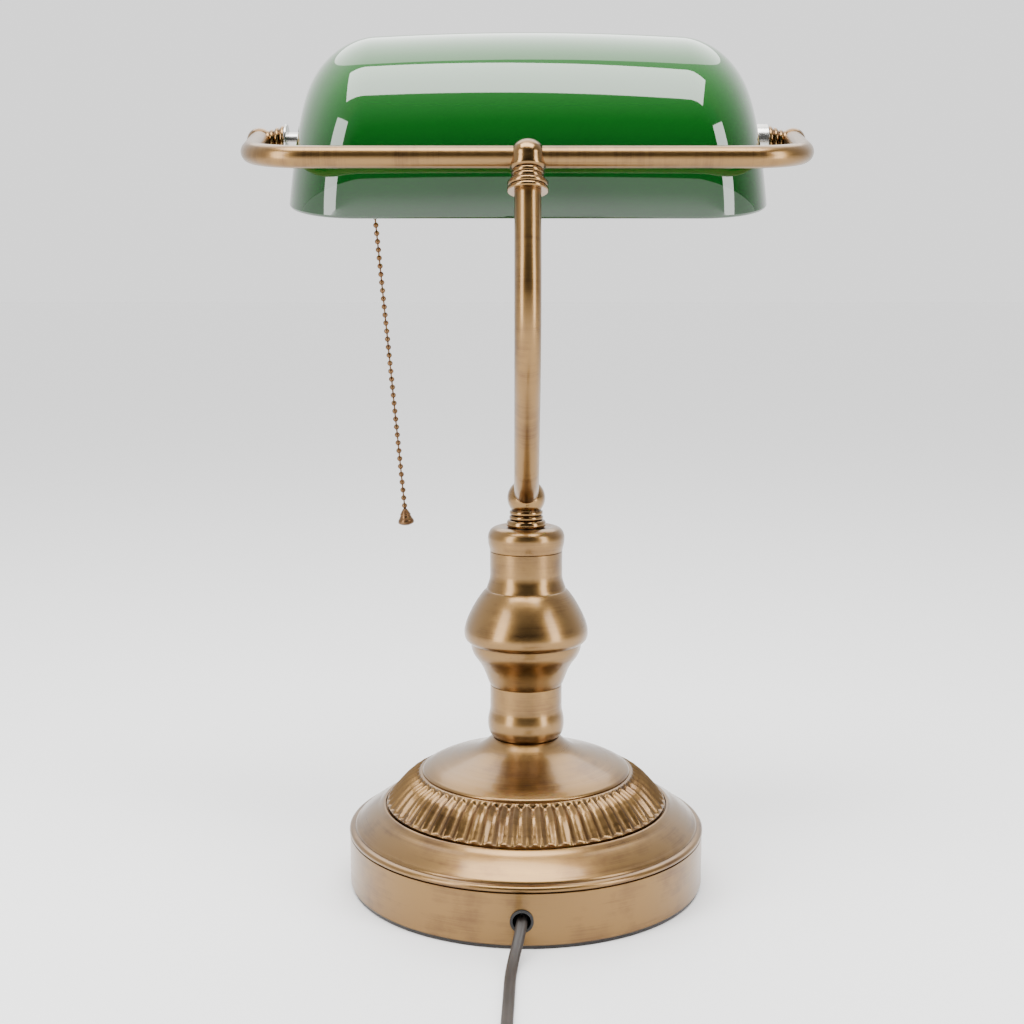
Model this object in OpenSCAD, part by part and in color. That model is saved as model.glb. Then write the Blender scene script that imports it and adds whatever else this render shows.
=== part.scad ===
// Banker desk lamp: weighted round base, turned spindle, bent arm, yoke and a
// tilting glass shade with a pull-chain lamp socket.  Millimetres, +Z up, origin
// at the centre of the base where it stands.  +Y is the reader's side, and the
// cord leaves the base towards -Y.

/* [Base] */
// Radius of the base's upright wall
base_r = 88.4; // [80:0.1:100]
// Height of the upright wall's top edge
base_wall_h = 26.6; // [22:0.1:32]
// Thickness of the base's sheet brass
base_sheet = 1.4; // [1:0.1:2]
// Height of the flat shelf that carries the fluted band
shelf_h = 40; // [38:0.5:46]
// Outer radius of the fluted band
band_r = 69.5; // [66:0.5:74]
// Height of the fluted band
band_h = 16; // [12:0.5:20]
// Number of flutes around the band
flute_count = 62; // [40:1:80]
// Radius of one flute
flute_r = 1.9; // [1.2:0.1:2.4]
// Radius of the dished cap's rim
dish_r = 51.8; // [46:0.1:56]
// Height of the dished cap from its rim to its neck
dish_h = 17.5; // [14:0.5:22]
// Radius of the dished cap's neck
dish_neck_r = 16.3; // [14:0.1:18]
// Thickness of the felt pad
pad_t = 1.6; // [1:0.1:3]
// Thickness of the bottom board
board_t = 2; // [1.5:0.5:4]
// Radius of the cast weight
weight_r = 64; // [50:1:70]
// Thickness of the cast weight
weight_t = 11; // [8:0.5:13]

/* [Spindle and elbow] */
// Height of the spindle's foot
foot_h = 26.8; // [22:0.2:32]
// Height of the spindle's middle, with its bulge
bulge_h = 67.2; // [60:0.2:80]
// Height of the spindle's top cap
cap_h = 12; // [10:0.2:15]
// Radius of the spindle's straight waists
waist_r = 17.85; // [16:0.05:20]
// Radius of the spindle's bulge
bulge_r = 30.6; // [27:0.1:34]
// Radius of the threaded pipe that ties the stack together
pipe_r = 4.9; // [4:0.1:5]
// Radius of the wire way through the pipe
pipe_bore_r = 3.5; // [2.5:0.1:3.6]
// Radius of the lower elbow's ball
ball_r = 9.3; // [8.8:0.1:11]
// Height of the ball's centre above the elbow's seat
ball_rise = 14.2; // [13.5:0.1:17]

/* [Arm and yoke] */
// Radius of the arm tube
arm_r = 6; // [5:0.1:6.2]
// Wall of the arm and yoke tubes
tube_wall = 1; // [0.8:0.1:1.5]
// Distance from the spindle's axis back to the hub
hub_back = 48; // [40:1:56]
// Height of the hub's centre above the ball's centre
hub_rise = 159; // [140:1:180]
// Angle at which the arm leaves the ball, from upright
arm_start_angle = 60; // [55:1:65]
// Lean of the arm's lower straight, from upright
arm_lean = 36; // [30:1:40]
// Forward lean of the arm at the hub, from upright
arm_top_lean = 16; // [10:1:20]
// Radius of the arm's lower bend
arm_bend_low = 45; // [40:1:50]
// Radius of the arm's upper bend
arm_bend_high = 70; // [60:1:80]
// Radius of the hub's body
hub_r = 8.1; // [7.5:0.1:10]
// Radius of the yoke tube
yoke_r = 5; // [4:0.1:5.2]
// Reach of the yoke from its bar to the shade's pivots
yoke_reach = 78; // [74:1:90]
// Rise of the yoke towards the reader's side
yoke_slope = 10.8; // [5:0.2:16]
// Radius of the yoke's two bends
yoke_bend_r = 28; // [22:1:34]
// How far each yoke arm spreads outwards
yoke_splay = 5; // [0:0.5:6]
// Radius of the end elbows' balls
end_ball_r = 6.3; // [5.9:0.1:7.5]
// Length of an end elbow from its ball's centre to its flange's face
end_elbow_len = 12.4; // [11:0.1:15]

/* [Shade] */
// Length of the glass shade
shade_len = 228.6; // [200:0.1:250]
// Depth of the glass shade
shade_depth = 130; // [118:1:132]
// Height of the glass shade
shade_h = 77; // [70:1:90]
// Wall of the glass shade
glass_t = 3.6; // [3:0.1:5]
// Radius of the shade's corners, seen from above
shade_corner = 35; // [28:1:38]
// Radius of the shade's top edges at its ends
shade_shoulder = 33; // [26:1:36]
// Height of the pivots above the shade's rim
pivot_h = 26; // [22:0.5:30]
// Tilt of the shade, reader's side up
shade_tilt = 14; // [0:1:20]
// Sideways play that the shade has taken up
shade_shift = 0.7; // [0:0.1:2.5]
// Radius of the hollow pivot nipples
nipple_r = 4; // [3.5:0.1:4.2]
// Radius of the nickel washer and spacer
washer_r = 8; // [7:0.1:9]
// Length of the nickel spacer at the right pivot
spacer_len = 6.1; // [4:0.1:8]
// Gap between an elbow's flange and what turns against it
turn_gap = 0.3; // [0.2:0.05:0.5]
// Radial clearance of a nipple in its elbow
run_clear = 0.05; // [0.02:0.01:0.08]

/* [Lamp socket and chain] */
// Radius of the socket's shell
socket_r = 16.5; // [15.8:0.1:18]
// Length of the socket's shell
socket_len = 44; // [40:0.5:52]
// Inside radius of the screw shell
screw_r = 13.2; // [12.8:0.1:13.4]
// Pitch of the chain's beads
bead_pitch = 4.07; // [3.6:0.01:4.5]
// Radius of one bead
bead_r = 1.42; // [1.2:0.02:1.6]
// Number of beads that hang below the connector
bead_count = 37; // [20:1:45]
// Sideways lean at which the chain hangs
chain_lean = 5.2; // [0:0.1:6]
// Travel of the pull switch
pull_travel = 8; // [5:0.5:9]

/* [Cord] */
// Width of the flat cord
cord_w = 5.2; // [4.8:0.1:6]
// Thickness of the flat cord
cord_t = 2.8; // [2.4:0.1:3.2]
// Radius of the cord's hole in the base
cord_hole_r = 4.8; // [4.5:0.1:6]
// Height of the cord's hole
cord_hole_z = 13.6; // [11:0.1:15]
// Sideways place of the cord's hole
cord_hole_x = -2.6; // [-4:0.1:4]
// Number of turns side by side in each of the coil's two layers
coil_columns = 5; // [4:1:6]
// Radius at the middle of the coil's turns
coil_mid_r = 28; // [24:0.5:32]

/* [Hidden] */
$fn = 96;
eps = 0.01;

// Narrowing of the shade's ends per millimetre of height
shade_draft = 0.0012;

// ---- stack heights ----
board_z = pad_t;
shell_z = pad_t;
band_z = shelf_h;
dish_z = band_z + band_h;
foot_z = dish_z + dish_h;
bulge_z = foot_z + foot_h;
cap_z = bulge_z + bulge_h;
seat_z = cap_z + cap_h;
ball_z = seat_z + ball_rise;
weight_z = shelf_h - base_sheet - weight_t;
washer_t = 1;
nut_t = 5;
pipe_z = weight_z - washer_t - nut_t - 2;
fit = 0.1;
pipe_hole_r = pipe_r + fit;

// ---- arm: three straights joined by two bends, in the plane x = 0 ----
// A direction at angle a leans back (towards -Y) by a from upright.
function back_dir(a) = [0, -sin(a), cos(a)];
arm_inset = 3.5;
arm_stub = 8;
hub_y = -hub_back;
hub_z = ball_z + hub_rise;
arm_p1 = [0, 0, ball_z] + arm_stub * back_dir(arm_start_angle);
arm_p2 = arm_p1 + arm_bend_low * [0, cos(arm_start_angle) - cos(arm_lean),
                                  sin(arm_start_angle) - sin(arm_lean)];
high_bend_shift = arm_bend_high * [0, cos(arm_lean) - cos(arm_top_lean),
                                   sin(arm_lean) + sin(arm_top_lean)];
arm_rest = [0, hub_y, hub_z] - arm_p2 - high_bend_shift;
arm_det = sin(arm_lean + arm_top_lean);
arm_s1 = (-cos(arm_top_lean) * arm_rest[1] + sin(arm_top_lean) * arm_rest[2]) / arm_det;
arm_s2 = (sin(arm_lean) * arm_rest[2] + cos(arm_lean) * arm_rest[1]) / arm_det;
arm_p3 = arm_p2 + arm_s1 * back_dir(arm_lean);
arm_p4 = arm_p3 + high_bend_shift;
hub_inset = 7;
tube_lap = 0.6;
tube_step = 0.04;

// ---- yoke ----
pivot_y = hub_y + yoke_reach * cos(yoke_slope);
pivot_z = hub_z + yoke_reach * sin(yoke_slope);
glass_end_x = (shade_len / 2) * (1 - shade_draft * pivot_h);
rubber_t = 1;
end_ball_x = glass_end_x + shade_shift + rubber_t + spacer_len + turn_gap + end_elbow_len;
yoke_arc = 90 - yoke_splay;
yoke_arm_len = (yoke_reach - yoke_bend_r * (1 - cos(yoke_arc))) / cos(yoke_splay);
yoke_half = end_ball_x - yoke_bend_r * sin(yoke_arc) - yoke_arm_len * sin(yoke_splay);
yoke_end_inset = 1.5;

// ---- shade ----
shade_crown = 2;
shade_steps = 8;
shade_ribs = 18;
nipple_bore_r = 2.4;
glass_hole_r = nipple_r + 1.2;

// ---- socket, measured from the glass's inner face along +X ----
socket_in_x = -glass_end_x + glass_t + rubber_t;
shade_nut_t = 4;
cap_x = socket_in_x + shade_nut_t;
cap_len = 16;
shell_x = cap_x + cap_len;
shell_wall = 0.6;
liner_wall = 0.8;
guide_x = shell_x + 9;
guide_len = 8.5;
guide_mouth = socket_r + guide_len;
plunger_len = 3;
chain_top_drop = guide_mouth + plunger_len;
connector_len = 8;

function shade_point(p) = [
    shade_shift + p[0],
    pivot_y + p[1] * cos(shade_tilt) - (p[2] - pivot_h) * sin(shade_tilt),
    pivot_z + p[1] * sin(shade_tilt) + (p[2] - pivot_h) * cos(shade_tilt)
];
chain_top = shade_point([guide_x, 0, pivot_h - chain_top_drop]);
bead_run = bead_count * bead_pitch;

// ---- cord: route of the free stretch, chosen by hand ----
cord_z = cord_t / 2 + 0.05;
cord_route = [
    [-2.6, -85, 14], [-2.7, -88.5, 12.7], [-3.2, -92, 11], [-4, -96, 8.6],
    [-5, -100, 6.2], [-6, -104.5, 4.1], [-6.8, -109.5, 2.5], [-7.4, -115, 1.7],
    [-7.8, -121, cord_z], [-8.1, -130, cord_z], [-8.4, -140, cord_z],
    [-8.8, -152, cord_z], [-9.2, -165, cord_z], [-9.5, -178, 1.6],
    [-9.6, -190, 2], [-9.6, -202, 2.5], [-9.6, -214, 2.7]
];
column_pitch = cord_t + 0.2;
layer_pitch = cord_w + 0.2;
coil_outer = coil_mid_r + coil_columns * column_pitch / 2;
coil_inner = coil_mid_r - coil_columns * column_pitch / 2;
coil_x = -9.6 + coil_outer - column_pitch / 2;
coil_y = -218;
plug_t = 12;
plug_y = coil_y - coil_outer + column_pitch / 2;
sleeve_x = coil_x + 13;
sleeve_len = 22;
plug_x = sleeve_x + sleeve_len;
plug_len = 26;
blade_len = 17;

BRASS = "#a5825a";
BRIGHT_BRASS = "#c8a468";
NICKEL = "#c9c9c4";
GLASS_GREEN = "#237323";
BRONZE = "#5a463c";

// ---- helpers ----
module ring(outer_r, inner_r, h) {
    difference() {
        cylinder(r = outer_r, h = h);
        translate([0, 0, -1]) cylinder(r = inner_r, h = h + 2);
    }
}

module along_x(x = 0) {
    translate([x, 0, 0]) rotate([0, 90, 0]) children();
}

function arc_points(c, r, a0, a1, n) = [
    for (i = [0:n]) let (a = a0 + (a1 - a0) * i / n) c + r * [cos(a), sin(a)]
];

// Brings children from the shade's own frame (rim at z = 0) to its place
module in_shade() {
    translate([shade_shift, pivot_y, pivot_z]) rotate([shade_tilt, 0, 0])
        translate([0, 0, -pivot_h]) children();
}

module in_yoke() {
    translate([0, hub_y, hub_z]) rotate([yoke_slope, 0, 0]) children();
}

// ---- base ----
module felt_pad() {
    color("#2b2624") cylinder(r = base_r - 0.9, h = pad_t);
}

module bottom_board() {
    color("#8a6f4d") translate([0, 0, board_z])
        ring(base_r - base_sheet - 0.3, 8, board_t);
}

bead_top = base_wall_h + 2.6;
shoulder_r = base_r - 2.6;

// Outer line of the shell, from the foot of the wall to the pipe hole
shell_line = concat(
    [[base_r, shell_z], [base_r, base_wall_h - 0.6]],
    arc_points([base_r - 0.9, base_wall_h + 0.9], 1.2, -30, 80, 4),
    [[shoulder_r + 0.2, bead_top], [shoulder_r, bead_top + 0.8],
     [base_r - 4.2, bead_top + 2.4], [base_r - 8, bead_top + 5.6],
     [base_r - 12.2, bead_top + 8.2], [band_r + 2.8, shelf_h + 0.4],
     [band_r + 0.8, shelf_h], [pipe_hole_r, shelf_h]]
);
shell_inside = [
    [pipe_hole_r, shelf_h - base_sheet], [band_r + 0.6, shelf_h - base_sheet],
    [base_r - 12.8, bead_top + 6.8], [base_r - 8.9, bead_top + 4.3],
    [base_r - 5.4, bead_top + 1.6], [base_r - base_sheet - 2, bead_top - 0.6],
    [base_r - base_sheet, base_wall_h - 1], [base_r - base_sheet, shell_z]
];

module base_shell() {
    color(BRASS) difference() {
        rotate_extrude() polygon(concat(shell_line, shell_inside));
        translate([cord_hole_x, -base_r + 6, cord_hole_z]) rotate([90, 0, 0])
            cylinder(r = cord_hole_r, h = 12);
    }
}

module base_weight() {
    color("#3c3c3e") translate([0, 0, weight_z])
        ring(weight_r, pipe_hole_r, weight_t - eps);
}

band_in_r = dish_r - 4;
band_line = [
    [band_in_r, 0], [band_r, 0], [band_r, 1.4], [band_r - 1.2, 4],
    [band_r - 3, 6.6], [band_r - 5.2, 9], [band_r - 7.8, 11.2],
    [band_r - 10.8, 13.2], [band_r - 14, 14.8], [dish_r, band_h - 0.2],
    [band_in_r, band_h - 0.2]
];

module fluted_band() {
    color(BRASS) translate([0, 0, band_z]) difference() {
        rotate_extrude() polygon(band_line);
        for (i = [0:flute_count - 1])
            rotate([0, 0, i * 360 / flute_count])
                translate([band_r + 0.9, 0, 2.6]) rotate([0, -45, 0])
                    cylinder(r = flute_r, h = 18);
    }
}

dish_line = [
    [band_in_r, -0.2], [dish_r - 0.6, -0.2], [dish_r, 0.4], [dish_r - 0.1, 1],
    [dish_r - 0.8, 1.7], [dish_r - 3.6, 3.2], [dish_r - 7.6, 4.7],
    [dish_r - 11.6, 6], [dish_r - 15.6, 7.3], [dish_r - 19.6, 8.7],
    [dish_neck_r + 11.7, 9.9], [dish_neck_r + 7.7, 11.6],
    [dish_neck_r + 3.7, 13.9], [dish_neck_r + 1.2, 16.2],
    [dish_neck_r, dish_h], [pipe_hole_r, dish_h]
];
dish_inside = [
    [pipe_hole_r, dish_h - 1.4], [dish_neck_r - 1.4, dish_h - 1.4],
    [dish_neck_r + 2.6, 12.7], [dish_neck_r + 7, 10.1],
    [dish_neck_r + 11.4, 8.5], [dish_r - 15.8, 5.8], [dish_r - 8, 3.2],
    [band_in_r, 1.8]
];

module dish_cap() {
    color(BRASS) translate([0, 0, dish_z])
        rotate_extrude() polygon(concat(dish_line, dish_inside));
}

// ---- spindle: three turned pieces, hollow inside ----
spindle_wall = 3.5;

module turned(line, h, hollow_r) {
    difference() {
        rotate_extrude() polygon(concat([[0, 0]], line, [[0, h]]));
        translate([0, 0, -1]) cylinder(r = pipe_hole_r, h = h + 2);
        translate([0, 0, spindle_wall]) cylinder(r = hollow_r, h = h - 2 * spindle_wall);
    }
}

foot_line = [
    [dish_neck_r, 0], [waist_r - 0.5, 0.9], [waist_r + 0.5, 2.6],
    [waist_r + 1.05, 5], [waist_r + 1.15, 7.6], [waist_r + 0.9, 10],
    [waist_r + 0.3, 12.4], [waist_r, 14.4], [waist_r, foot_h]
];

module spindle_foot() {
    color(BRASS) translate([0, 0, foot_z]) turned(foot_line, foot_h, waist_r - 3);
}

bulge_line = [
    [waist_r, 0], [waist_r + 0.8, 0.8], [waist_r + 1.9, 3.4],
    [waist_r + 3.6, 8], [waist_r + 5.9, 11.6], [bulge_r - 4.4, 15.2],
    [bulge_r - 3.3, 18.4], [bulge_r - 3.1, 21.2], [bulge_r - 1.5, 22],
    [bulge_r - 0.3, 23.4], [bulge_r, 25.4], [bulge_r, 27.4],
    [bulge_r - 0.6, 30.4], [bulge_r - 1.9, 33.8], [bulge_r - 4.2, 38.4],
    [bulge_r - 7.4, 43.6], [waist_r + 2.1, 47], [waist_r + 1.9, 48],
    [waist_r + 0.9, 50.4], [waist_r, 54.4], [waist_r, bulge_h]
];

module spindle_bulge() {
    color(BRASS) translate([0, 0, bulge_z]) turned(bulge_line, bulge_h, waist_r - 3);
}

cap_line = [
    [waist_r, 0], [waist_r + 0.3, 1], [waist_r + 0.9, 2.8],
    [waist_r + 1, 4.6], [waist_r + 0.9, 6.6], [waist_r + 0.3, 8.6],
    [waist_r - 0.9, 10.4], [waist_r - 2.9, 11.7], [waist_r - 4.9, 12.2],
    [waist_r - 6.5, 12.1], [waist_r - 7.5, cap_h]
];

module spindle_cap() {
    color(BRASS) translate([0, 0, cap_z]) difference() {
        rotate_extrude() polygon(concat([[0, 0]], cap_line, [[0, cap_h]]));
        translate([0, 0, -1]) cylinder(r = pipe_hole_r, h = cap_h + 2);
    }
}

// ---- tie pipe and its fastenings ----
pipe_top = seat_z + 6;

module threaded_pipe() {
    color("#8f8f8a") translate([0, 0, pipe_z])
        ring(pipe_r, pipe_bore_r, pipe_top - pipe_z);
}

module pipe_nut() {
    color("#8f8f8a") translate([0, 0, weight_z - washer_t - nut_t]) difference() {
        cylinder(r = 9, h = nut_t, $fn = 6);
        translate([0, 0, -1]) cylinder(r = pipe_hole_r, h = nut_t + 2);
    }
}

module lock_washer() {
    color("#8f8f8a") translate([0, 0, weight_z - washer_t])
        ring(11, pipe_hole_r, washer_t);
}

// ---- elbow fittings: flange, two ribs and a ball, drawn from the seat up ----
elbow_flange_r = 9.7;
elbow_rib_r = 8.4;
elbow_neck_r = 7.3;
elbow_line = concat(
    [[0, 0], [elbow_flange_r - 0.3, 0], [elbow_flange_r, 0.6],
     [elbow_flange_r - 0.2, 1.6], [elbow_flange_r - 1.3, 2]],
    arc_points([elbow_rib_r - 0.6, 3.2], 1, -60, 60, 4),
    [[elbow_neck_r + 0.2, 4.4]],
    arc_points([elbow_rib_r - 0.9, 5.6], 0.9, -60, 60, 4),
    [[elbow_neck_r - 0.2, 6.8], [elbow_neck_r - 0.4, 8.6], [0, 8.6]]
);

module lower_elbow() {
    color(BRASS) translate([0, 0, seat_z]) difference() {
        union() {
            rotate_extrude() polygon(elbow_line);
            translate([0, 0, ball_rise]) sphere(r = ball_r);
        }
        translate([0, 0, -1]) cylinder(r = pipe_hole_r, h = pipe_top - seat_z + 1);
        cylinder(r = pipe_bore_r, h = ball_rise);
        translate([0, 0, ball_rise]) rotate([arm_start_angle, 0, 0])
            translate([0, 0, arm_inset]) cylinder(r = arm_r + fit / 2, h = ball_r);
    }
}

// ---- arm ----
// Ring-shaped outline of a tube, for sweeping
module tube_outline(r, wall) {
    difference() {
        circle(r = r);
        circle(r = r - wall);
    }
}

// Straight tube from p, leaning back by angle a, drawn a hair thinner than the bends
// and lapped into them by lap at its start and end
module arm_straight(p, a, len, lap0, lap1) {
    translate(p) rotate([a, 0, 0]) translate([0, 0, -lap0])
        ring(arm_r - tube_step, arm_r - tube_wall + tube_step, len + lap0 + lap1);
}

// Bend that starts at p heading back by a0 and swings forwards to a1; its centre
// lies on the reader's side, so the arm bows out backwards
module arm_bend(p, a0, a1, bend_r) {
    translate(p + bend_r * [0, cos(a0), sin(a0)])
        rotate([0, 0, 90]) rotate([90, 0, 0]) rotate([0, 0, 180 + a1])
            rotate_extrude(angle = a0 - a1)
                translate([bend_r, 0]) tube_outline(arm_r, tube_wall);
}

module arm_tube() {
    color(BRASS) {
        arm_straight([0, 0, ball_z] + arm_inset * back_dir(arm_start_angle),
                     arm_start_angle, arm_stub - arm_inset, 0, tube_lap);
        arm_bend(arm_p1, arm_start_angle, arm_lean, arm_bend_low);
        arm_straight(arm_p2, arm_lean, arm_s1, tube_lap, tube_lap);
        arm_bend(arm_p3, arm_lean, -arm_top_lean, arm_bend_high);
        arm_straight(arm_p4, -arm_top_lean, arm_s2 - hub_inset, tube_lap, 0);
    }
}

// ---- hub ----
hub_down = 16;
hub_line = concat(
    [[0, -hub_down], [elbow_flange_r - 0.6, -hub_down],
     [elbow_flange_r - 0.2, -hub_down + 0.8], [elbow_flange_r - 0.6, -hub_down + 2],
     [elbow_flange_r - 1.2, -hub_down + 2.6], [elbow_flange_r - 0.9, -hub_down + 3.4],
     [elbow_flange_r - 1.4, -hub_down + 4.4]],
    arc_points([elbow_rib_r - 1.5, -hub_down + 5.6], 0.9, -60, 60, 4),
    [[elbow_neck_r - 0.4, -hub_down + 6.8]],
    arc_points([elbow_rib_r - 1.7, -hub_down + 8], 0.9, -60, 60, 4),
    [[elbow_neck_r - 0.3, -hub_down + 9.4], [hub_r - 0.5, -hub_down + 10],
     [hub_r, -hub_down + 10.8], [hub_r, 1.2]],
    [[hub_r - 0.3, 3], [hub_r - 1.2, 4.9], [hub_r - 2.7, 6.6],
     [hub_r - 4.8, 7.8], [0, 8.4]]
);

module yoke_hub() {
    color(BRASS) difference() {
        translate([0, hub_y, hub_z]) rotate([-arm_top_lean, 0, 0]) difference() {
            rotate_extrude() polygon(hub_line);
            translate([0, 0, -hub_down - 1])
                cylinder(r = arm_r + fit / 2, h = hub_down + 1 - hub_inset);
            translate([0, 0, -hub_inset - 1]) cylinder(r = 3, h = hub_inset + 1);
        }
        translate([-20, hub_y, hub_z]) rotate([0, 90, 0])
            cylinder(r = yoke_r + fit / 2, h = 40);
        translate([0, hub_y, hub_z]) rotate([-90, 0, 0]) cylinder(r = 1.5, h = 12);
    }
}

// Grub screw on the reader's side that clamps the yoke in the hub
module hub_screw() {
    color("#8f8f8a") translate([0, hub_y + yoke_r + 0.2, hub_z]) rotate([-90, 0, 0])
        difference() {
            cylinder(r = 1.45, h = 3.6);
            translate([0, 0, 2.4]) cylinder(r = 0.8, h = 2, $fn = 6);
        }
}

// ---- yoke ----
module yoke_side() {
    translate([yoke_half, yoke_bend_r, 0])
        rotate([0, 0, -90]) rotate_extrude(angle = yoke_arc)
            translate([yoke_bend_r, 0]) tube_outline(yoke_r, tube_wall);
    translate([yoke_half + yoke_bend_r * sin(yoke_arc),
               yoke_bend_r * (1 - cos(yoke_arc)), 0])
        rotate([0, 0, -yoke_splay]) rotate([-90, 0, 0]) translate([0, 0, -tube_lap])
            ring(yoke_r - tube_step, yoke_r - tube_wall + tube_step,
                 yoke_arm_len - yoke_end_inset + tube_lap);
}

module yoke_bar() {
    bar = yoke_half + tube_lap;
    difference() {
        translate([-bar, 0, 0]) rotate([0, 90, 0])
            ring(yoke_r - tube_step, yoke_r - tube_wall + tube_step, 2 * bar);
        rotate([180 - arm_top_lean - yoke_slope, 0, 0]) cylinder(r = 2.5, h = yoke_r + 1);
    }
}

module yoke_tube() {
    color(BRASS) in_yoke() {
        yoke_bar();
        yoke_side();
        mirror([1, 0, 0]) yoke_side();
    }
}

// End elbow at the origin, its flange facing +X and its tube coming from -Y
end_line = concat(
    [[0, 0], [4.7, 0], [4.7, 3.6], [4.9, 4.2], [4.7, 4.9]],
    arc_points([4.7, 6.2], 0.8, -60, 60, 3),
    [[5, 7.6], [6, 8.1], [6.5, 8.9], [6.3, 9.7], [5.9, 10.2], [6.5, 10.5],
     [7.2, 11.2], [7.3, 12], [7.1, end_elbow_len], [0, end_elbow_len]]
);
nipple_start = 5.6;

module end_elbow() {
    difference() {
        union() {
            rotate([0, 90, 0]) sphere(r = end_ball_r);
            rotate([0, 90, 0]) rotate_extrude() polygon(end_line);
        }
        rotate([yoke_slope, 0, 0]) rotate([0, 0, yoke_splay]) rotate([90, 0, 0])
            translate([0, 0, yoke_end_inset]) cylinder(r = yoke_r + fit / 2, h = 10);
        along_x(nipple_start - 0.3) cylinder(r = nipple_r + run_clear, h = 10);
        along_x(-1.5) cylinder(r = nipple_bore_r, h = 8);
    }
}

module left_elbow() {
    color(BRASS) translate([-end_ball_x, pivot_y, pivot_z]) end_elbow();
}

module right_elbow() {
    color(BRASS) translate([end_ball_x, pivot_y, pivot_z]) mirror([1, 0, 0]) end_elbow();
}

// ---- pivots ----
// The nipple's outer end stands nipple_start from the ball's centre
left_outer = -end_ball_x + nipple_start;
right_outer = end_ball_x - nipple_start;
left_glass = shade_shift - glass_end_x;
right_glass = shade_shift + glass_end_x;
nipple_inside = glass_t + 2 * rubber_t + shade_nut_t;

module pivot_ring(x, outer_r, inner_r, len) {
    translate([0, pivot_y, pivot_z]) along_x(x) ring(outer_r, inner_r, len);
}

module left_nipple() {
    color(NICKEL) pivot_ring(left_outer, nipple_r, nipple_bore_r,
                             left_glass + nipple_inside + 4 - left_outer);
}

module right_nipple() {
    color(NICKEL) pivot_ring(right_glass - nipple_inside - 2, nipple_r, nipple_bore_r,
                             right_outer - right_glass + nipple_inside + 2);
}

left_washer_t = 1.2;

module left_washer() {
    color(NICKEL) pivot_ring(-end_ball_x + end_elbow_len + turn_gap, washer_r,
                             nipple_r + run_clear, left_washer_t);
}

module right_spacer() {
    color(NICKEL) pivot_ring(right_glass + rubber_t + fit, washer_r,
                             nipple_r + run_clear, spacer_len - fit);
}

module rubber_washers() {
    color("#1c1c1c") {
        pivot_ring(left_glass - rubber_t - 0.5, washer_r - 0.6, nipple_r + run_clear, rubber_t);
        pivot_ring(left_glass + glass_t + 0.5, washer_r + 1, nipple_r + run_clear, rubber_t);
        pivot_ring(right_glass + 0.5 - fit, washer_r - 0.6, nipple_r + run_clear, rubber_t - 0.5);
        pivot_ring(right_glass - glass_t - rubber_t - 0.5, washer_r + 1,
                   nipple_r + run_clear, rubber_t);
    }
}

module hex_ring(x, flat_r, len) {
    translate([0, pivot_y, pivot_z]) along_x(x) difference() {
        cylinder(r = flat_r, h = len, $fn = 6);
        translate([0, 0, -1]) cylinder(r = nipple_r + run_clear, h = len + 2);
    }
}

module shade_nuts() {
    color(NICKEL) {
        hex_ring(left_glass + glass_t + 0.5 + rubber_t, 7.4, shade_nut_t - 1);
        hex_ring(right_glass - glass_t - rubber_t - 0.5 - shade_nut_t, 7.4, shade_nut_t);
    }
}

// ---- glass shade ----
// Half sizes at a station angle q, 0 at the end face and 90 where the corner ends
function shade_plan(q, half_d, corner) = half_d - corner + corner * sin(q);
function shade_rise(q, h, shoulder) = h - shade_crown - shoulder + shoulder * sin(q);

function shade_station(half_l, half_d, h, corner, shoulder, q) = [
    half_l - corner + corner * cos(q), shade_plan(q, half_d, corner),
    shade_rise(q, h, shoulder)
];

// Stations from the left end to the right end: [x, half depth, height]
function shade_stations(t) = let (
    half_l = shade_len / 2 - t, half_d = shade_depth / 2 - t, h = shade_h - t,
    corner = shade_corner - t, shoulder = shade_shoulder - t,
    right = [for (i = [0:shade_steps])
        shade_station(half_l, half_d, h, corner, shoulder, 90 * i / shade_steps)],
    left = [for (i = [0:shade_steps]) [-right[i][0], right[i][1], right[i][2]]],
    middle = [for (f = [-0.6, -0.25, 0.25, 0.6])
        [f * (half_l - corner), half_d, h - shade_crown * f * f]]
) concat(left, middle, [for (i = [shade_steps:-1:0]) right[i]]);

function shade_skin(t) = [
    for (s = shade_stations(t), j = [0:shade_ribs])
        let (a = 180 * j / shade_ribs, z = s[2] * sin(a))
        [s[0] * (1 - shade_draft * z), s[1] * cos(a), z]
];

shade_count = 2 * (shade_steps + 1) + 4;
row = shade_ribs + 1;
skin = shade_count * row;
last = (shade_count - 1) * row;

function outer_quad(i, j) = let (k = i * row + j) [k, k + 1, k + row + 1, k + row];
function inner_quad(i, j) = let (k = skin + i * row + j) [k, k + row, k + row + 1, k + 1];

shade_faces = concat(
    [for (i = [0:shade_count - 2], j = [0:shade_ribs - 1]) outer_quad(i, j)],
    [for (i = [0:shade_count - 2], j = [0:shade_ribs - 1]) inner_quad(i, j)],
    [[for (j = [shade_ribs:-1:0]) j]], [[for (j = [0:shade_ribs]) last + j]],
    [[for (j = [0:shade_ribs]) skin + j]],
    [[for (j = [shade_ribs:-1:0]) skin + last + j]],
    [for (i = [0:shade_count - 2])
        [i * row, (i + 1) * row, skin + (i + 1) * row, skin + i * row]],
    [for (i = [0:shade_count - 2]) let (k = i * row + shade_ribs)
        [k, skin + k, skin + k + row, k + row]],
    [[0, skin, skin + shade_ribs, shade_ribs],
     [last, last + shade_ribs, skin + last + shade_ribs, skin + last]]
);

module glass_shade() {
    color(GLASS_GREEN) in_shade() difference() {
        polyhedron(concat(shade_skin(0), shade_skin(glass_t)), shade_faces, convexity = 6);
        translate([-shade_len, 0, pivot_h]) rotate([0, 90, 0])
            cylinder(r = glass_hole_r, h = 2 * shade_len);
    }
}

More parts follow.
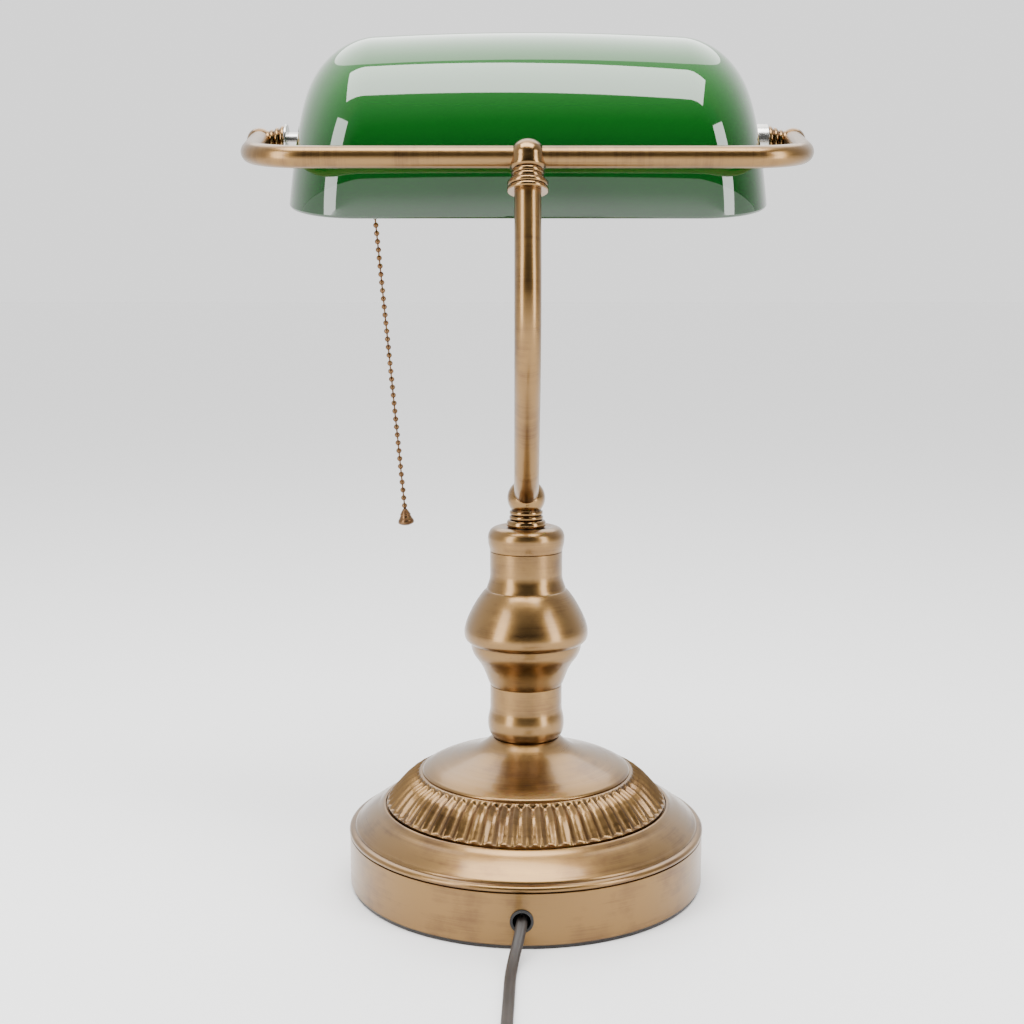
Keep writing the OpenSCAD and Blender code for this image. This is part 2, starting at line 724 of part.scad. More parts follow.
// ---- lamp socket, in the shade's frame, its axis along +X at pivot height ----
module at_socket(x) {
    in_shade() translate([x, 0, pivot_h]) rotate([0, 90, 0]) children();
}

module socket_cap() {
    color(BRIGHT_BRASS) at_socket(cap_x) difference() {
        rotate_extrude() polygon(concat(
            [[nipple_r + run_clear, 0], [7, 0]],
            arc_points([7, 9.5], 9.5, -90, 0, 8),
            [[16.5, cap_len], [15.7, cap_len], [15.7, 9.5]],
            arc_points([7, 9.5], 8.7, 0, -90, 8),
            [[nipple_r + run_clear, 0.8]]
        ));
    }
}

module socket_shell() {
    color(BRIGHT_BRASS) at_socket(shell_x) difference() {
        union() {
            ring(socket_r, socket_r - shell_wall, socket_len);
            translate([0, 0, 3]) ring(socket_r + 0.7, socket_r - shell_wall, 2);
            translate([0, 0, socket_len - 2.5])
                ring(socket_r + 0.6, socket_r - shell_wall, 2.5);
        }
        translate([0, 0, guide_x - shell_x]) rotate([0, 90, 0])
            cylinder(r = 2.6, h = socket_r + 4);
    }
}

liner_r = socket_r - shell_wall - 0.1;

module socket_liner() {
    color("#b9a88a") at_socket(shell_x + 12) ring(liner_r, liner_r - liner_wall, socket_len - 13);
}

block_r = liner_r - liner_wall - 0.2;
block_start = 0.5;
block_len = 16;
nose_r = screw_r - 2.2;
screw_start = block_start + block_len + 0.1;
screw_floor = 0.6;
screw_len = 24;

module switch_block() {
    color("#33302e") at_socket(shell_x + block_start) difference() {
        cylinder(r = block_r, h = block_len);
        translate([0, 0, guide_x - shell_x - block_start]) rotate([0, 90, 0])
            cylinder(r = 2.7, h = socket_r);
    }
}

module screw_shell() {
    color(BRIGHT_BRASS) at_socket(shell_x + screw_start) difference() {
        cylinder(r = screw_r + 0.6, h = screw_len);
        translate([0, 0, screw_floor]) cylinder(r = screw_r, h = screw_len);
        translate([0, 0, -1]) cylinder(r = nose_r, h = 4);
    }
}

module centre_contact() {
    color(BRIGHT_BRASS) at_socket(shell_x + screw_start - 0.05) cylinder(r = 4, h = screw_floor);
}

// ---- pull chain ----
module at_guide(drop) {
    in_shade() translate([guide_x, 0, pivot_h - drop]) children();
}

module chain_guide() {
    color(BRIGHT_BRASS) at_guide(guide_mouth) difference() {
        rotate_extrude() polygon([
            [2.2, 0], [4, 0], [4.3, 0.5], [3.6, 1.4], [2.9, 3], [2.5, guide_len + 2],
            [1.9, guide_len + 2], [1.9, 2]
        ]);
    }
}

// Short run of beads that the switch pulls on, at rest in the guide
plunger_beads = 4;

module switch_plunger() {
    color(BRONZE) at_guide(chain_top_drop) {
        for (i = [0:plunger_beads - 1])
            translate([0, 0, 0.4 + bead_r + i * (bead_pitch - 0.6)]) sphere(r = bead_r, $fn = 24);
        translate([0, 0, 0.4 + bead_r]) cylinder(r = 0.5, h = plunger_beads * (bead_pitch - 0.6) + 3);
    }
}

// Brings children to the chain's own line: z runs up it, 0 at the connector's top
module on_chain() {
    translate(chain_top) rotate([0, -chain_lean, 0]) children();
}

module chain_connector() {
    color(BRONZE) on_chain() translate([0, 0, -connector_len]) difference() {
        rotate_extrude() polygon([
            [0, 0.5], [1.2, 0.5], [1.9, 1.1], [2.1, 2], [2.1, connector_len - 1.8],
            [1.8, connector_len - 0.9], [0, connector_len - 0.5]
        ]);
        translate([0, -3, connector_len / 2]) rotate([-90, 0, 0]) cylinder(r = 0.8, h = 6);
    }
}

module pull_chain() {
    color(BRONZE) on_chain() translate([0, 0, -connector_len]) {
        for (i = [0:bead_count - 1])
            translate([0, 0, -bead_r - i * bead_pitch]) sphere(r = bead_r, $fn = 24);
        translate([0, 0, -bead_r - (bead_count - 1) * bead_pitch])
            cylinder(r = 0.45, h = (bead_count - 1) * bead_pitch);
    }
}

fob_h = 8.8;

module chain_fob() {
    color(BRONZE) on_chain()
        translate([0, 0, -connector_len - bead_run + bead_pitch - 2 * bead_r - fob_h])
            rotate_extrude() polygon([
                [0, 0], [1.4, 0.2], [1.6, 1], [3.3, 1.2], [4.1, 1.9], [3.9, 2.9],
                [3.1, 4.3], [2.7, 5.8], [2.2, 7], [1.5, 8], [0.8, fob_h], [0, fob_h]
            ]);
}

// ---- cord ----
grommet_t = 0.6;

module cord_grommet() {
    color("#161616") translate([cord_hole_x, -base_r, cord_hole_z]) rotate([90, 0, 0])
        difference() {
            union() {
                translate([0, 0, -2.6]) cylinder(r = cord_hole_r - 0.05, h = 2.7);
                translate([0, 0, 0.1]) cylinder(r = cord_hole_r + 0.6, h = 0.7);
            }
            translate([0, 0, -4]) cylinder(r = cord_hole_r - grommet_t, h = 8);
        }
}

// Round rod from point a to point b
module rod(a, b, r) {
    d = b - a;
    translate(a) rotate([0, acos(d[2] / norm(d)), atan2(d[1], d[0])])
        cylinder(r = r, h = norm(d));
}

// Lead inside the base, from the cord's hole to the pipe and up through it
module base_lead() {
    lead_r = cord_t / 2;
    turn = [0, 0, cord_hole_z + 0.4];
    color("#3a2f29") {
        rod([cord_hole_x, -base_r + 3.5, turn[2]], turn, lead_r);
        translate(turn) sphere(r = lead_r);
        rod(turn, [0, 0, pipe_top - 1], lead_r);
    }
}

// Unit tangent at each point of a route
function tangent(p, i) = let (
    d = p[min(i + 1, len(p) - 1)] - p[max(i - 1, 0)]
) d / norm(d);

// Flat oval ring of the cord at point i: wide sideways, thin upwards
function cord_ring(p, i) = let (
    t = tangent(p, i), side = cross(t, [0, 0, 1]) / norm(cross(t, [0, 0, 1])),
    up = cross(side, t)
) [for (k = [0:7]) let (a = 22.5 + 45 * k)
    p[i] + side * cord_w / 2 * cos(a) / cos(22.5) + up * cord_t / 2 * sin(a) / sin(67.5)];

module swept_cord(p) {
    n = len(p);
    points = [for (i = [0:n - 1]) each cord_ring(p, i)];
    faces = concat(
        [[for (k = [0:7]) k]], [[for (k = [7:-1:0]) (n - 1) * 8 + k]],
        [for (i = [0:n - 2], k = [0:7])
            [i * 8 + k, (i + 1) * 8 + k, (i + 1) * 8 + (k + 1) % 8, i * 8 + (k + 1) % 8]]
    );
    polyhedron(points, faces);
}

module power_cord() {
    color("#3a2f29") swept_cord(cord_route);
}

module cord_coil() {
    color("#3a2f29") translate([coil_x, coil_y, 0])
        ring(coil_outer, coil_inner, 2 * layer_pitch);
}

module plug_body() {
    color("#242222") {
        translate([sleeve_x, plug_y, plug_t / 2]) rotate([0, 90, 0])
            rotate_extrude() polygon([[0, 0], [2.6, 0], [5, sleeve_len], [0, sleeve_len]]);
        translate([plug_x, plug_y, 0]) linear_extrude(plug_t) polygon([
            [0, -7], [3, -9.5], [plug_len - 2, -11.5], [plug_len, -10],
            [plug_len, 10], [plug_len - 2, 11.5], [3, 9.5], [0, 7]
        ]);
    }
}

module plug_blades() {
    color("#d8c58a") for (s = [-1, 1])
        translate([plug_x + plug_len, plug_y + s * 6.35 - 0.75, plug_t / 2 - 3.15])
            cube([blade_len, 1.5, 6.3]);
}

felt_pad();
bottom_board();
base_shell();
base_weight();
fluted_band();
dish_cap();
spindle_foot();
spindle_bulge();
spindle_cap();
threaded_pipe();
pipe_nut();
lock_washer();
lower_elbow();
arm_tube();
yoke_hub();
hub_screw();
yoke_tube();
left_elbow();
right_elbow();
left_nipple();
right_nipple();
left_washer();
right_spacer();
rubber_washers();
shade_nuts();
glass_shade();
socket_cap();
socket_shell();
socket_liner();
switch_block();
screw_shell();
centre_contact();
chain_guide();
switch_plunger();
chain_connector();
pull_chain();
chain_fob();
cord_grommet();
base_lead();
power_cord();
cord_coil();
plug_body();
plug_blades();
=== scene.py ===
import math

import bpy
import numpy as np
from mathutils import Matrix, Vector


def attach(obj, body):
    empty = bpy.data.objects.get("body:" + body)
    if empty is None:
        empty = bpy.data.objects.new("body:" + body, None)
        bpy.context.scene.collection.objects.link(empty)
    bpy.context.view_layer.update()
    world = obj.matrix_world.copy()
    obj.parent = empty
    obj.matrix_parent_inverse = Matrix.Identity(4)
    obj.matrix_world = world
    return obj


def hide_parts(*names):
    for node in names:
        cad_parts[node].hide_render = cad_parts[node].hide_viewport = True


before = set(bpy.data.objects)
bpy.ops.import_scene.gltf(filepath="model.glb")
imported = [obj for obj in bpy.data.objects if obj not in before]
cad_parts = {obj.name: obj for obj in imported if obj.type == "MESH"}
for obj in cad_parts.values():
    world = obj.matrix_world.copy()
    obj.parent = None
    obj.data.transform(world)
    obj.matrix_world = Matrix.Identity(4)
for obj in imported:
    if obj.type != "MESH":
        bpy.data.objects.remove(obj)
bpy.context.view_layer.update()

bl_info = {
    "name": "Banker desk lamp",
    "version": (1, 0, 0),
    "blender": (4, 5, 0),
    "location": "View3D > Sidebar > Desk lamp",
    "description": "Builds the surfaces, finishes and studio of a banker desk lamp",
    "category": "Object",
}

MM = 0.001


# ---- sizes and colours -------------------------------------------------------

def length(name, description, default):
    """A size property, in metres, from a default in millimetres."""
    return bpy.props.FloatProperty(name=name, description=description, default=default * MM,
                                   subtype="DISTANCE", unit="LENGTH", precision=5)


def angle(name, description, default):
    """An angle property from a default in degrees."""
    return bpy.props.FloatProperty(name=name, description=description,
                                   default=math.radians(default), subtype="ANGLE",
                                   unit="ROTATION")


def shade_hex(name, description, default):
    """A colour kept as an sRGB hex word."""
    return bpy.props.StringProperty(name=name, description=description, default=default)


class StandSizes(bpy.types.PropertyGroup):
    base_r: length("Base radius", "Radius of the base's upright wall", 88.4)
    flutes: bpy.props.IntProperty(name="Flutes", description="Flutes round the base", default=62)
    flute_depth: length("Flute depth", "Depth of one flute", 1.9)
    ball_z: length("Ball height", "Height of the lower elbow's ball", 193.7)
    ball_r: length("Ball radius", "Radius of the lower elbow's ball", 9.3)
    arm_r: length("Arm radius", "Radius of the arm tube", 6.0)
    arm_start: angle("Arm start", "Angle at which the arm leaves the ball", 60)
    arm_lean: angle("Arm lean", "Lean of the arm's lower straight", 36)
    arm_top: angle("Arm top lean", "Forward lean of the arm at the hub", 16)
    hub_y: length("Hub place", "Place of the hub behind the axis", -48)
    hub_z: length("Hub height", "Height of the hub's centre", 352.7)


class YokeSizes(bpy.types.PropertyGroup):
    tube_r: length("Yoke radius", "Radius of the yoke tube", 5.0)
    half: length("Bar half", "Half length of the yoke's straight bar", 98.7525)
    bend_r: length("Bend radius", "Radius of the yoke's bends", 28)
    side: length("Side length", "Length of a side arm", 51.1407)
    splay: angle("Splay", "Outward spread of a side arm", 5)
    slope: angle("Slope", "Rise of the yoke towards the reader", 10.8)
    end_x: length("End place", "Distance of an end elbow's ball from the axis", 131.234)
    pivot_y: length("Pivot place", "Place of the shade's pivots", 28.6184)
    pivot_z: length("Pivot height", "Height of the shade's pivots", 367.316)


class GlassSizes(bpy.types.PropertyGroup):
    half: length("Half length", "Half the length of the shade", 114.3)
    depth: length("Half depth", "Half the depth of the shade", 65)
    height: length("Height", "Height of the shade", 77)
    corner: length("Corner", "Radius of the corners seen from above", 35)
    shoulder: length("Shoulder", "Radius of the ends' top edges", 33)
    crown: length("Crown", "Rise of the top in its middle", 2)
    wall: length("Wall", "Thickness of the glass", 3.6)
    draft: bpy.props.FloatProperty(name="Draft", description="Narrowing per metre of height",
                                   default=1.2)
    pivot: length("Pivot rise", "Height of the pivots above the rim", 26)
    shift: length("Shift", "Sideways play taken up", 0.7)
    tilt: angle("Tilt", "Tilt of the shade, reader's side up", 14)


class ChainSizes(bpy.types.PropertyGroup):
    pitch: length("Bead pitch", "Distance from bead to bead", 4.07)
    bead: length("Bead radius", "Radius of a bead", 1.42)
    count: bpy.props.IntProperty(name="Beads", description="Beads on the chain", default=37)
    lean: angle("Lean", "Sideways lean at which the chain hangs", 5.2)


class CordSizes(bpy.types.PropertyGroup):
    width: length("Cord width", "Width of the flat cord", 5.2)
    thick: length("Cord thickness", "Thickness of the flat cord", 2.8)
    total: length("Cord length", "Length from the base to the plug", 1800)
    coil_x: length("Coil place X", "Centre of the coil", 24.4)
    coil_y: length("Coil place Y", "Centre of the coil", -218)
    coil_r: length("Coil outer turn", "Radius of the outermost turn", 34)


class Finishes(bpy.types.PropertyGroup):
    brass: shade_hex("Brass", "Lacquered antique brass", "#80623A")
    brass_dark: shade_hex("Brass, toned", "Brass where the patina is thicker", "#5A402B")
    glass: shade_hex("Green glass", "Outer layer of the cased glass", "#07430F")
    opal: shade_hex("Opal", "Inner layer of the cased glass", "#F1EFE6")
    cord: shade_hex("Cord", "Flexible PVC of the cord", "#241E1A")
    floor: shade_hex("Floor", "Studio floor", "#F4F4F4")


GROUPS = {
    "lamp_stand": StandSizes, "lamp_yoke": YokeSizes, "lamp_glass": GlassSizes,
    "lamp_chain": ChainSizes, "lamp_cord": CordSizes, "lamp_finish": Finishes,
}


# ---- colours and materials ---------------------------------------------------

def linear(hex_word, alpha=1.0):
    """sRGB hex to linear: c/12.92 below 0.04045, else ((c + 0.055)/1.055) to the 2.4."""
    c = np.array([int(hex_word[i:i + 2], 16) for i in (1, 3, 5)]) / 255.0
    c = np.where(c <= 0.04045, c / 12.92, ((c + 0.055) / 1.055) ** 2.4)
    return (*[float(v) for v in c], alpha)


def add(tree, kind, links=None, **settings):
    """Adds a node: settings are its own fields, and links feeds its sockets from other
    nodes' outputs."""
    node = tree.nodes.new(kind)
    for key, value in settings.items():
        setattr(node, key, value)
    for key, source in (links or {}).items():
        tree.links.new(source, node.inputs[key])
    return node


def new_material(name, **settings):
    """A material with a Principled shader whose constants are set on its own sockets."""
    material = bpy.data.materials.new(name)
    material.use_nodes = True
    shader = material.node_tree.nodes["Principled BSDF"]
    for key, value in settings.items():
        shader.inputs[key.replace("_", " ")].default_value = value
    return material, material.node_tree, shader


def ramp_of(tree, factor, stops):
    """A colour ramp fed by factor, with stops given as (place, hex word)."""
    ramp = add(tree, "ShaderNodeValToRGB", {"Fac": factor})
    while len(ramp.color_ramp.elements) < len(stops):
        ramp.color_ramp.elements.new(0.5)
    for element, (place, word) in zip(ramp.color_ramp.elements, stops):
        element.position = place
        element.color = linear(word)
    return ramp


def scaled(tree, source, scale, place=(0, 0, 0)):
    """Coordinates times scale, after moving by place."""
    moved = add(tree, "ShaderNodeMapping", {"Vector": source})
    moved.inputs["Location"].default_value = place
    moved.inputs["Scale"].default_value = scale
    return moved.outputs["Vector"]


def bump_into(tree, shader, height, strength, distance):
    """Bump from a height that is 1 at its highest; distance is in metres."""
    node = add(tree, "ShaderNodeBump", {"Height": height})
    node.inputs["Strength"].default_value = strength
    node.inputs["Distance"].default_value = distance
    tree.links.new(node.outputs["Normal"], shader.inputs["Normal"])


def noise(tree, vector, scale, detail, rough=0.5):
    """Noise with its scale in cycles a metre of the coordinates that it is given."""
    node = add(tree, "ShaderNodeTexNoise", {"Vector": vector})
    node.inputs["Scale"].default_value = scale
    node.inputs["Detail"].default_value = detail
    node.inputs["Roughness"].default_value = rough
    return node.outputs["Fac"]


def lay_of(tree):
    """The pieces' own attribute: (x, y) round the piece and the length along it."""
    return add(tree, "ShaderNodeAttribute", attribute_name="lay").outputs["Vector"]


def brushed_brass(name, tone, dark, rough, line_mm, line_depth, spread):
    """Spun or drawn brass, brushed round the piece with a fine belt, toned and lacquered:
    fine rings across a soft metallic glow, browner patches where the patina is thick, and darker
    hollows that are partly patina and partly painted shade."""
    material, tree, shader = new_material(name, Metallic=1.0, Roughness=rough,
                                          Coat_Weight=0.35, Coat_Roughness=0.12)
    lay = lay_of(tree)
    per_metre = 1000.0 / line_mm
    lines = noise(tree, scaled(tree, lay, (40, 40, per_metre)), 1.0, 3, 0.6)
    coarse = noise(tree, scaled(tree, lay, (25, 25, per_metre / 5)), 1.0, 2, 0.5)
    place = add(tree, "ShaderNodeTexCoord").outputs["Object"]
    patina = noise(tree, place, 45, 4, 0.6)
    both = add(tree, "ShaderNodeMath", operation="ADD")
    tree.links.new(lines, both.inputs[0])
    tree.links.new(coarse, both.inputs[1])
    mixed = add(tree, "ShaderNodeMath", operation="MULTIPLY_ADD")
    tree.links.new(both.outputs[0], mixed.inputs[0])
    mixed.inputs[1].default_value = 0.35
    tree.links.new(patina, mixed.inputs[2])
    ramp = ramp_of(tree, mixed.outputs[0], [(0.5, dark), (0.86, tone), (1.0, tone)])
    # Darker colour in hollows and creases from ambient occlusion: partly the patina gathered
    # there, partly painted shade.
    hollow = add(tree, "ShaderNodeAmbientOcclusion", samples=6, only_local=True)
    hollow.inputs["Distance"].default_value = 0.007
    clear = add(tree, "ShaderNodeMapRange", {"Value": hollow.outputs["AO"]})
    clear.inputs["From Min"].default_value = 0.3
    clear.inputs["From Max"].default_value = 0.98
    hollow_patina_and_shade = add(tree, "ShaderNodeMix", {"Factor": clear.outputs["Result"]}, data_type="RGBA")
    hollow_patina_and_shade.inputs[6].default_value = linear(mixed_word(dark, "#1A0F08", 0.6))
    tree.links.new(ramp.outputs["Color"], hollow_patina_and_shade.inputs[7])
    tree.links.new(hollow_patina_and_shade.outputs[2], shader.inputs["Base Color"])
    dull = add(tree, "ShaderNodeMapRange", {"Value": coarse})
    dull.inputs["To Min"].default_value = rough - spread
    dull.inputs["To Max"].default_value = rough + spread
    tree.links.new(dull.outputs["Result"], shader.inputs["Roughness"])
    bump_into(tree, shader, lines, line_depth, 0.00006)
    return material


def plain_metal(name, word, rough, grain_mm, depth):
    """Turned or stamped metal with a thin plating: an even colour under fine tool marks."""
    material, tree, shader = new_material(name, Metallic=1.0, Roughness=rough)
    place = add(tree, "ShaderNodeTexCoord").outputs["Object"]
    fine = noise(tree, place, 1000.0 / grain_mm, 3, 0.6)
    smear = noise(tree, place, 120, 3, 0.5)
    ramp = ramp_of(tree, smear, [(0.3, word), (0.75, mixed_word(word, "#000000", 0.16))])
    tree.links.new(ramp.outputs["Color"], shader.inputs["Base Color"])
    dull = add(tree, "ShaderNodeMapRange", {"Value": smear})
    dull.inputs["To Min"].default_value = rough * 0.75
    dull.inputs["To Max"].default_value = rough * 1.3
    tree.links.new(dull.outputs["Result"], shader.inputs["Roughness"])
    bump_into(tree, shader, fine, depth, 0.00004)
    return material


def mixed_word(a, b, share):
    """The hex word share of the way from a to b."""
    pairs = [(int(a[i:i + 2], 16), int(b[i:i + 2], 16)) for i in (1, 3, 5)]
    return "#" + "".join(f"{round(p + (q - p) * share):02X}" for p, q in pairs)


def cased_glass(words):
    """Green glass cased over opal, press moulded and fire polished: a wet gloss over a deep
    green, darker towards the rim and lighter towards the top as painted shade and painted light,
    with the faint ripple of the mould."""
    material, tree, shader = new_material(
        "cased_green_glass_fire_polished", Roughness=0.04, IOR=1.52, Coat_Weight=0.6,
        Coat_Roughness=0.02)
    place = add(tree, "ShaderNodeTexCoord").outputs["Object"]
    height = add(tree, "ShaderNodeSeparateXYZ", {"Vector": place}).outputs["Z"]
    # Colour by height: painted shade darkens the glass towards the rim, and painted light makes
    # it a lighter green towards the top.
    rise = add(tree, "ShaderNodeMapRange", {"Value": height})
    rise.inputs["From Min"].default_value = 0.325
    rise.inputs["From Max"].default_value = 0.44
    ramp = ramp_of(tree, rise.outputs["Result"], [
        (0.0, mixed_word(words.glass, "#000000", 0.35)), (0.4, words.glass),
        (1.0, mixed_word(words.glass, "#3F9A30", 0.4))])
    tree.links.new(ramp.outputs["Color"], shader.inputs["Base Color"])
    bump_into(tree, shader, noise(tree, place, 22, 1, 0.4), 0.12, 0.0008)
    return material


def opal_glass(words):
    """The opal casing inside, blown against the green: milky white with a soft shine."""
    material, tree, shader = new_material(
        "opal_casing_fire_polished", Roughness=0.18, IOR=1.5, Subsurface_Weight=0.3,
        Subsurface_Scale=0.003)
    place = add(tree, "ShaderNodeTexCoord").outputs["Object"]
    ramp = ramp_of(tree, noise(tree, place, 60, 2), [
        (0.3, words.opal), (0.8, mixed_word(words.opal, "#C9CDBC", 0.4))])
    tree.links.new(ramp.outputs["Color"], shader.inputs["Base Color"])
    bump_into(tree, shader, noise(tree, place, 30, 1), 0.1, 0.0006)
    return material


def moulded(name, word, rough, grain_mm, depth, sheen=0.0):
    """Moulded rubber, PVC or phenolic: an even dark skin with the mould's fine spark grain."""
    material, tree, shader = new_material(name, Roughness=rough, IOR=1.5, Sheen_Weight=sheen)
    place = add(tree, "ShaderNodeTexCoord").outputs["Object"]
    fine = noise(tree, place, 1000.0 / grain_mm, 2, 0.6)
    broad = noise(tree, place, 90, 3)
    ramp = ramp_of(tree, broad, [(0.3, word), (0.8, mixed_word(word, "#8C8078", 0.14))])
    tree.links.new(ramp.outputs["Color"], shader.inputs["Base Color"])
    dull = add(tree, "ShaderNodeMapRange", {"Value": broad})
    dull.inputs["To Min"].default_value = rough - 0.06
    dull.inputs["To Max"].default_value = rough + 0.08
    tree.links.new(dull.outputs["Result"], shader.inputs["Roughness"])
    bump_into(tree, shader, fine, depth, 0.0001)
    return material


def felt(word):
    """Pressed wool felt: no weave, only short tangled fibres that catch a soft edge light."""
    material, tree, shader = new_material("pressed_wool_felt", Roughness=0.95,
                                          Sheen_Weight=0.5)
    place = add(tree, "ShaderNodeTexCoord").outputs["Object"]
    fibre = noise(tree, place, 1600, 5, 0.75)
    ramp = ramp_of(tree, fibre, [(0.3, mixed_word(word, "#000000", 0.3)), (0.75, word)])
    tree.links.new(ramp.outputs["Color"], shader.inputs["Base Color"])
    bump_into(tree, shader, fibre, 0.6, 0.0004)
    return material


def make_finishes(words):
    """Every material by its short key."""
    return {
        "brass": brushed_brass("antique_brass_belt_brushed_lacquered", words.brass,
                               words.brass_dark, 0.30, 0.55, 0.35, 0.06),
        "bright_brass_cast": brushed_brass("cast_brass_turned_polished", words.brass,
                                           words.brass_dark, 0.2, 0.7, 0.15, 0.04),
        "socket": plain_metal("socket_brass_stamped_bright", "#D0A85C", 0.22, 0.8, 0.2),
        "nickel": plain_metal("steel_nickel_plated", "#CFCDC8", 0.24, 0.7, 0.25),
        "zinc": plain_metal("steel_zinc_plated", "#9A9A96", 0.38, 0.6, 0.35),
        "iron": plain_metal("grey_iron_sand_cast", "#3B3B3B", 0.7, 2.5, 0.8),
        "bronze": plain_metal("brass_bead_chain_oil_darkened", "#6E5238", 0.34, 0.5, 0.3),
        "glass": cased_glass(words),
        "opal": opal_glass(words),
        "rubber": moulded("rubber_washer_moulded", "#161616", 0.6, 0.6, 0.3),
        "phenolic": moulded("phenolic_switch_body_moulded", "#2A2522", 0.4, 0.5, 0.2),
        "cord": moulded("pvc_twin_cord_extruded", words.cord, 0.5, 1.2, 0.25),
        "plug": moulded("pvc_plug_moulded", "#262321", 0.5, 0.7, 0.4),
        "board": moulded("hard_fibre_board_pressed", "#7B6243", 0.8, 0.5, 0.5),
        "felt": felt("#2B2624"),
    }


FINISH = {}


# ---- surfaces ----------------------------------------------------------------

def smooth_line(points, step=0.6):
    """Curve through (r, z, crease) points: a cubic between neighbours whose slopes are the
    chord across each inner point, and are one-sided at a crease, sampled every step."""
    p = np.array([q[:2] for q in points], float)
    crease = np.array([len(q) > 2 for q in points])
    crease[[0, -1]] = True
    chord = np.diff(p, axis=0)
    size = np.linalg.norm(chord, axis=1)
    unit = chord / size[:, None]
    before = np.vstack([unit[:1], unit])
    after = np.vstack([unit, unit[-1:]])
    mean = before + after
    mean /= np.maximum(np.linalg.norm(mean, axis=1), 1e-9)[:, None]
    out = np.where(crease[:, None], after, mean)[:-1]
    into = np.where(crease[:, None], before, mean)[1:]
    counts = np.maximum(2, np.ceil(size / step).astype(int))
    span = np.repeat(np.arange(len(size)), counts)
    t = np.concatenate([np.arange(n) / n for n in counts])[:, None]
    a, b, s = p[:-1][span], p[1:][span], size[span][:, None]
    line = ((2 * t**3 - 3 * t**2 + 1) * a + (t**3 - 2 * t**2 + t) * s * out[span]
            + (3 * t**2 - 2 * t**3) * b + (t**3 - t**2) * s * into[span])
    return np.vstack([line, p[-1:]])


def grid_faces(rows, columns, wrap, first=0):
    """Quads of a grid, wrapping round its columns if asked."""
    i = np.arange(rows - 1)[:, None]
    j = np.arange(columns if wrap else columns - 1)[None, :]
    k = (j + 1) % columns
    quads = np.stack([i * columns + j, i * columns + k, (i + 1) * columns + k,
                      (i + 1) * columns + j], axis=-1)
    return quads.reshape(-1, 4) + first


def make_piece(name, points, faces, lay, materials, body, index=None, crease=35):
    """A mesh object from arrays, in metres, with the lay attribute and smooth shading."""
    mesh = bpy.data.meshes.new(name)
    points = np.asarray(points, np.float32).reshape(-1, 3)
    faces = faces.tolist() if isinstance(faces, np.ndarray) else faces
    faces = [tuple(dict.fromkeys(f)) for f in faces]
    mesh.from_pydata(points.tolist(), [], faces)
    note = mesh.attributes.new("lay", "FLOAT_VECTOR", "POINT")
    note.data.foreach_set("vector", np.asarray(lay, np.float32).ravel())
    for material in materials:
        mesh.materials.append(material)
    if index is not None:
        mesh.polygons.foreach_set("material_index", np.asarray(index, np.int32))
    mesh.polygons.foreach_set("use_smooth", np.ones(len(mesh.polygons), bool))
    mesh.update()
    mesh.set_sharp_from_angle(angle=math.radians(crease))
    mesh.validate()
    piece = bpy.data.objects.new(name, mesh)
    bpy.context.scene.collection.objects.link(piece)
    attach(piece, body)
    return piece


def lathe(name, line, material, body, place=None, sides=128, crease=28,
          turn=None, hole=None):
    """Surface of revolution: a line of (radius, height) in millimetres carried round the
    axis, then moved by place. A radius of 0 at an end closes it. A hole (x, z, radius) is
    left out of the -Y side, and the points nearest its edge are drawn onto its circle."""
    line = np.asarray(line, float) * MM
    turn = np.linspace(0, 2 * np.pi, sides, endpoint=False) if turn is None else turn
    sides = len(turn)
    r, z = line[:, :1], line[:, 1:2]
    grid = np.stack([r * np.cos(turn), r * np.sin(turn), z + 0 * turn], axis=-1)
    along = np.concatenate([[0], np.cumsum(np.linalg.norm(np.diff(line, axis=0), axis=1))])
    lay = np.stack([grid[..., 0], grid[..., 1], along[:, None] + 0 * turn], axis=-1)
    points, lay = grid.reshape(-1, 3), lay.reshape(-1, 3)
    faces = grid_faces(len(line), sides, True).tolist()
    for row, closed in ((0, line[0, 0] < 1e-9), (len(line) - 1, line[-1, 0] < 1e-9)):
        if closed:
            first = row * sides
            merged = set(range(first + 1, first + sides))
            faces = [[first if v in merged else v for v in f] for f in faces]
    if hole is not None:
        x, z, radius = (v * MM for v in hole)
        away = points[:, [0, 2]] - np.array([x, z])
        far = np.hypot(away[:, 0], away[:, 1]) + np.where(points[:, 1] > 0, 1.0, 0.0)
        corners = np.array([f if len(f) == 4 else f[:4] for f in faces])
        out = far[corners].mean(axis=1) < radius
        edge = np.intersect1d(corners[out], corners[~out])
        moved = np.array([x, z]) + away[edge] * (radius / far[edge])[:, None]
        points[edge, 0], points[edge, 2] = moved[:, 0], moved[:, 1]
        faces = corners[~out].tolist()
    used = np.unique(np.concatenate([np.array(f) for f in faces]))
    order = np.full(len(points), -1)
    order[used] = np.arange(len(used))
    faces = [[int(order[v]) for v in f] for f in faces]
    points = points[used]
    if place is not None:
        turn_part = np.array(place.to_3x3())
        points = points @ turn_part.T + np.array(place.translation)
    return make_piece(name, points, faces, lay[used], [material], body,
                      crease=crease)


def path_frames(path):
    """Unit tangents of a path."""
    tangent = np.gradient(path, axis=0)
    tangent /= np.linalg.norm(tangent, axis=1)[:, None]
    return tangent


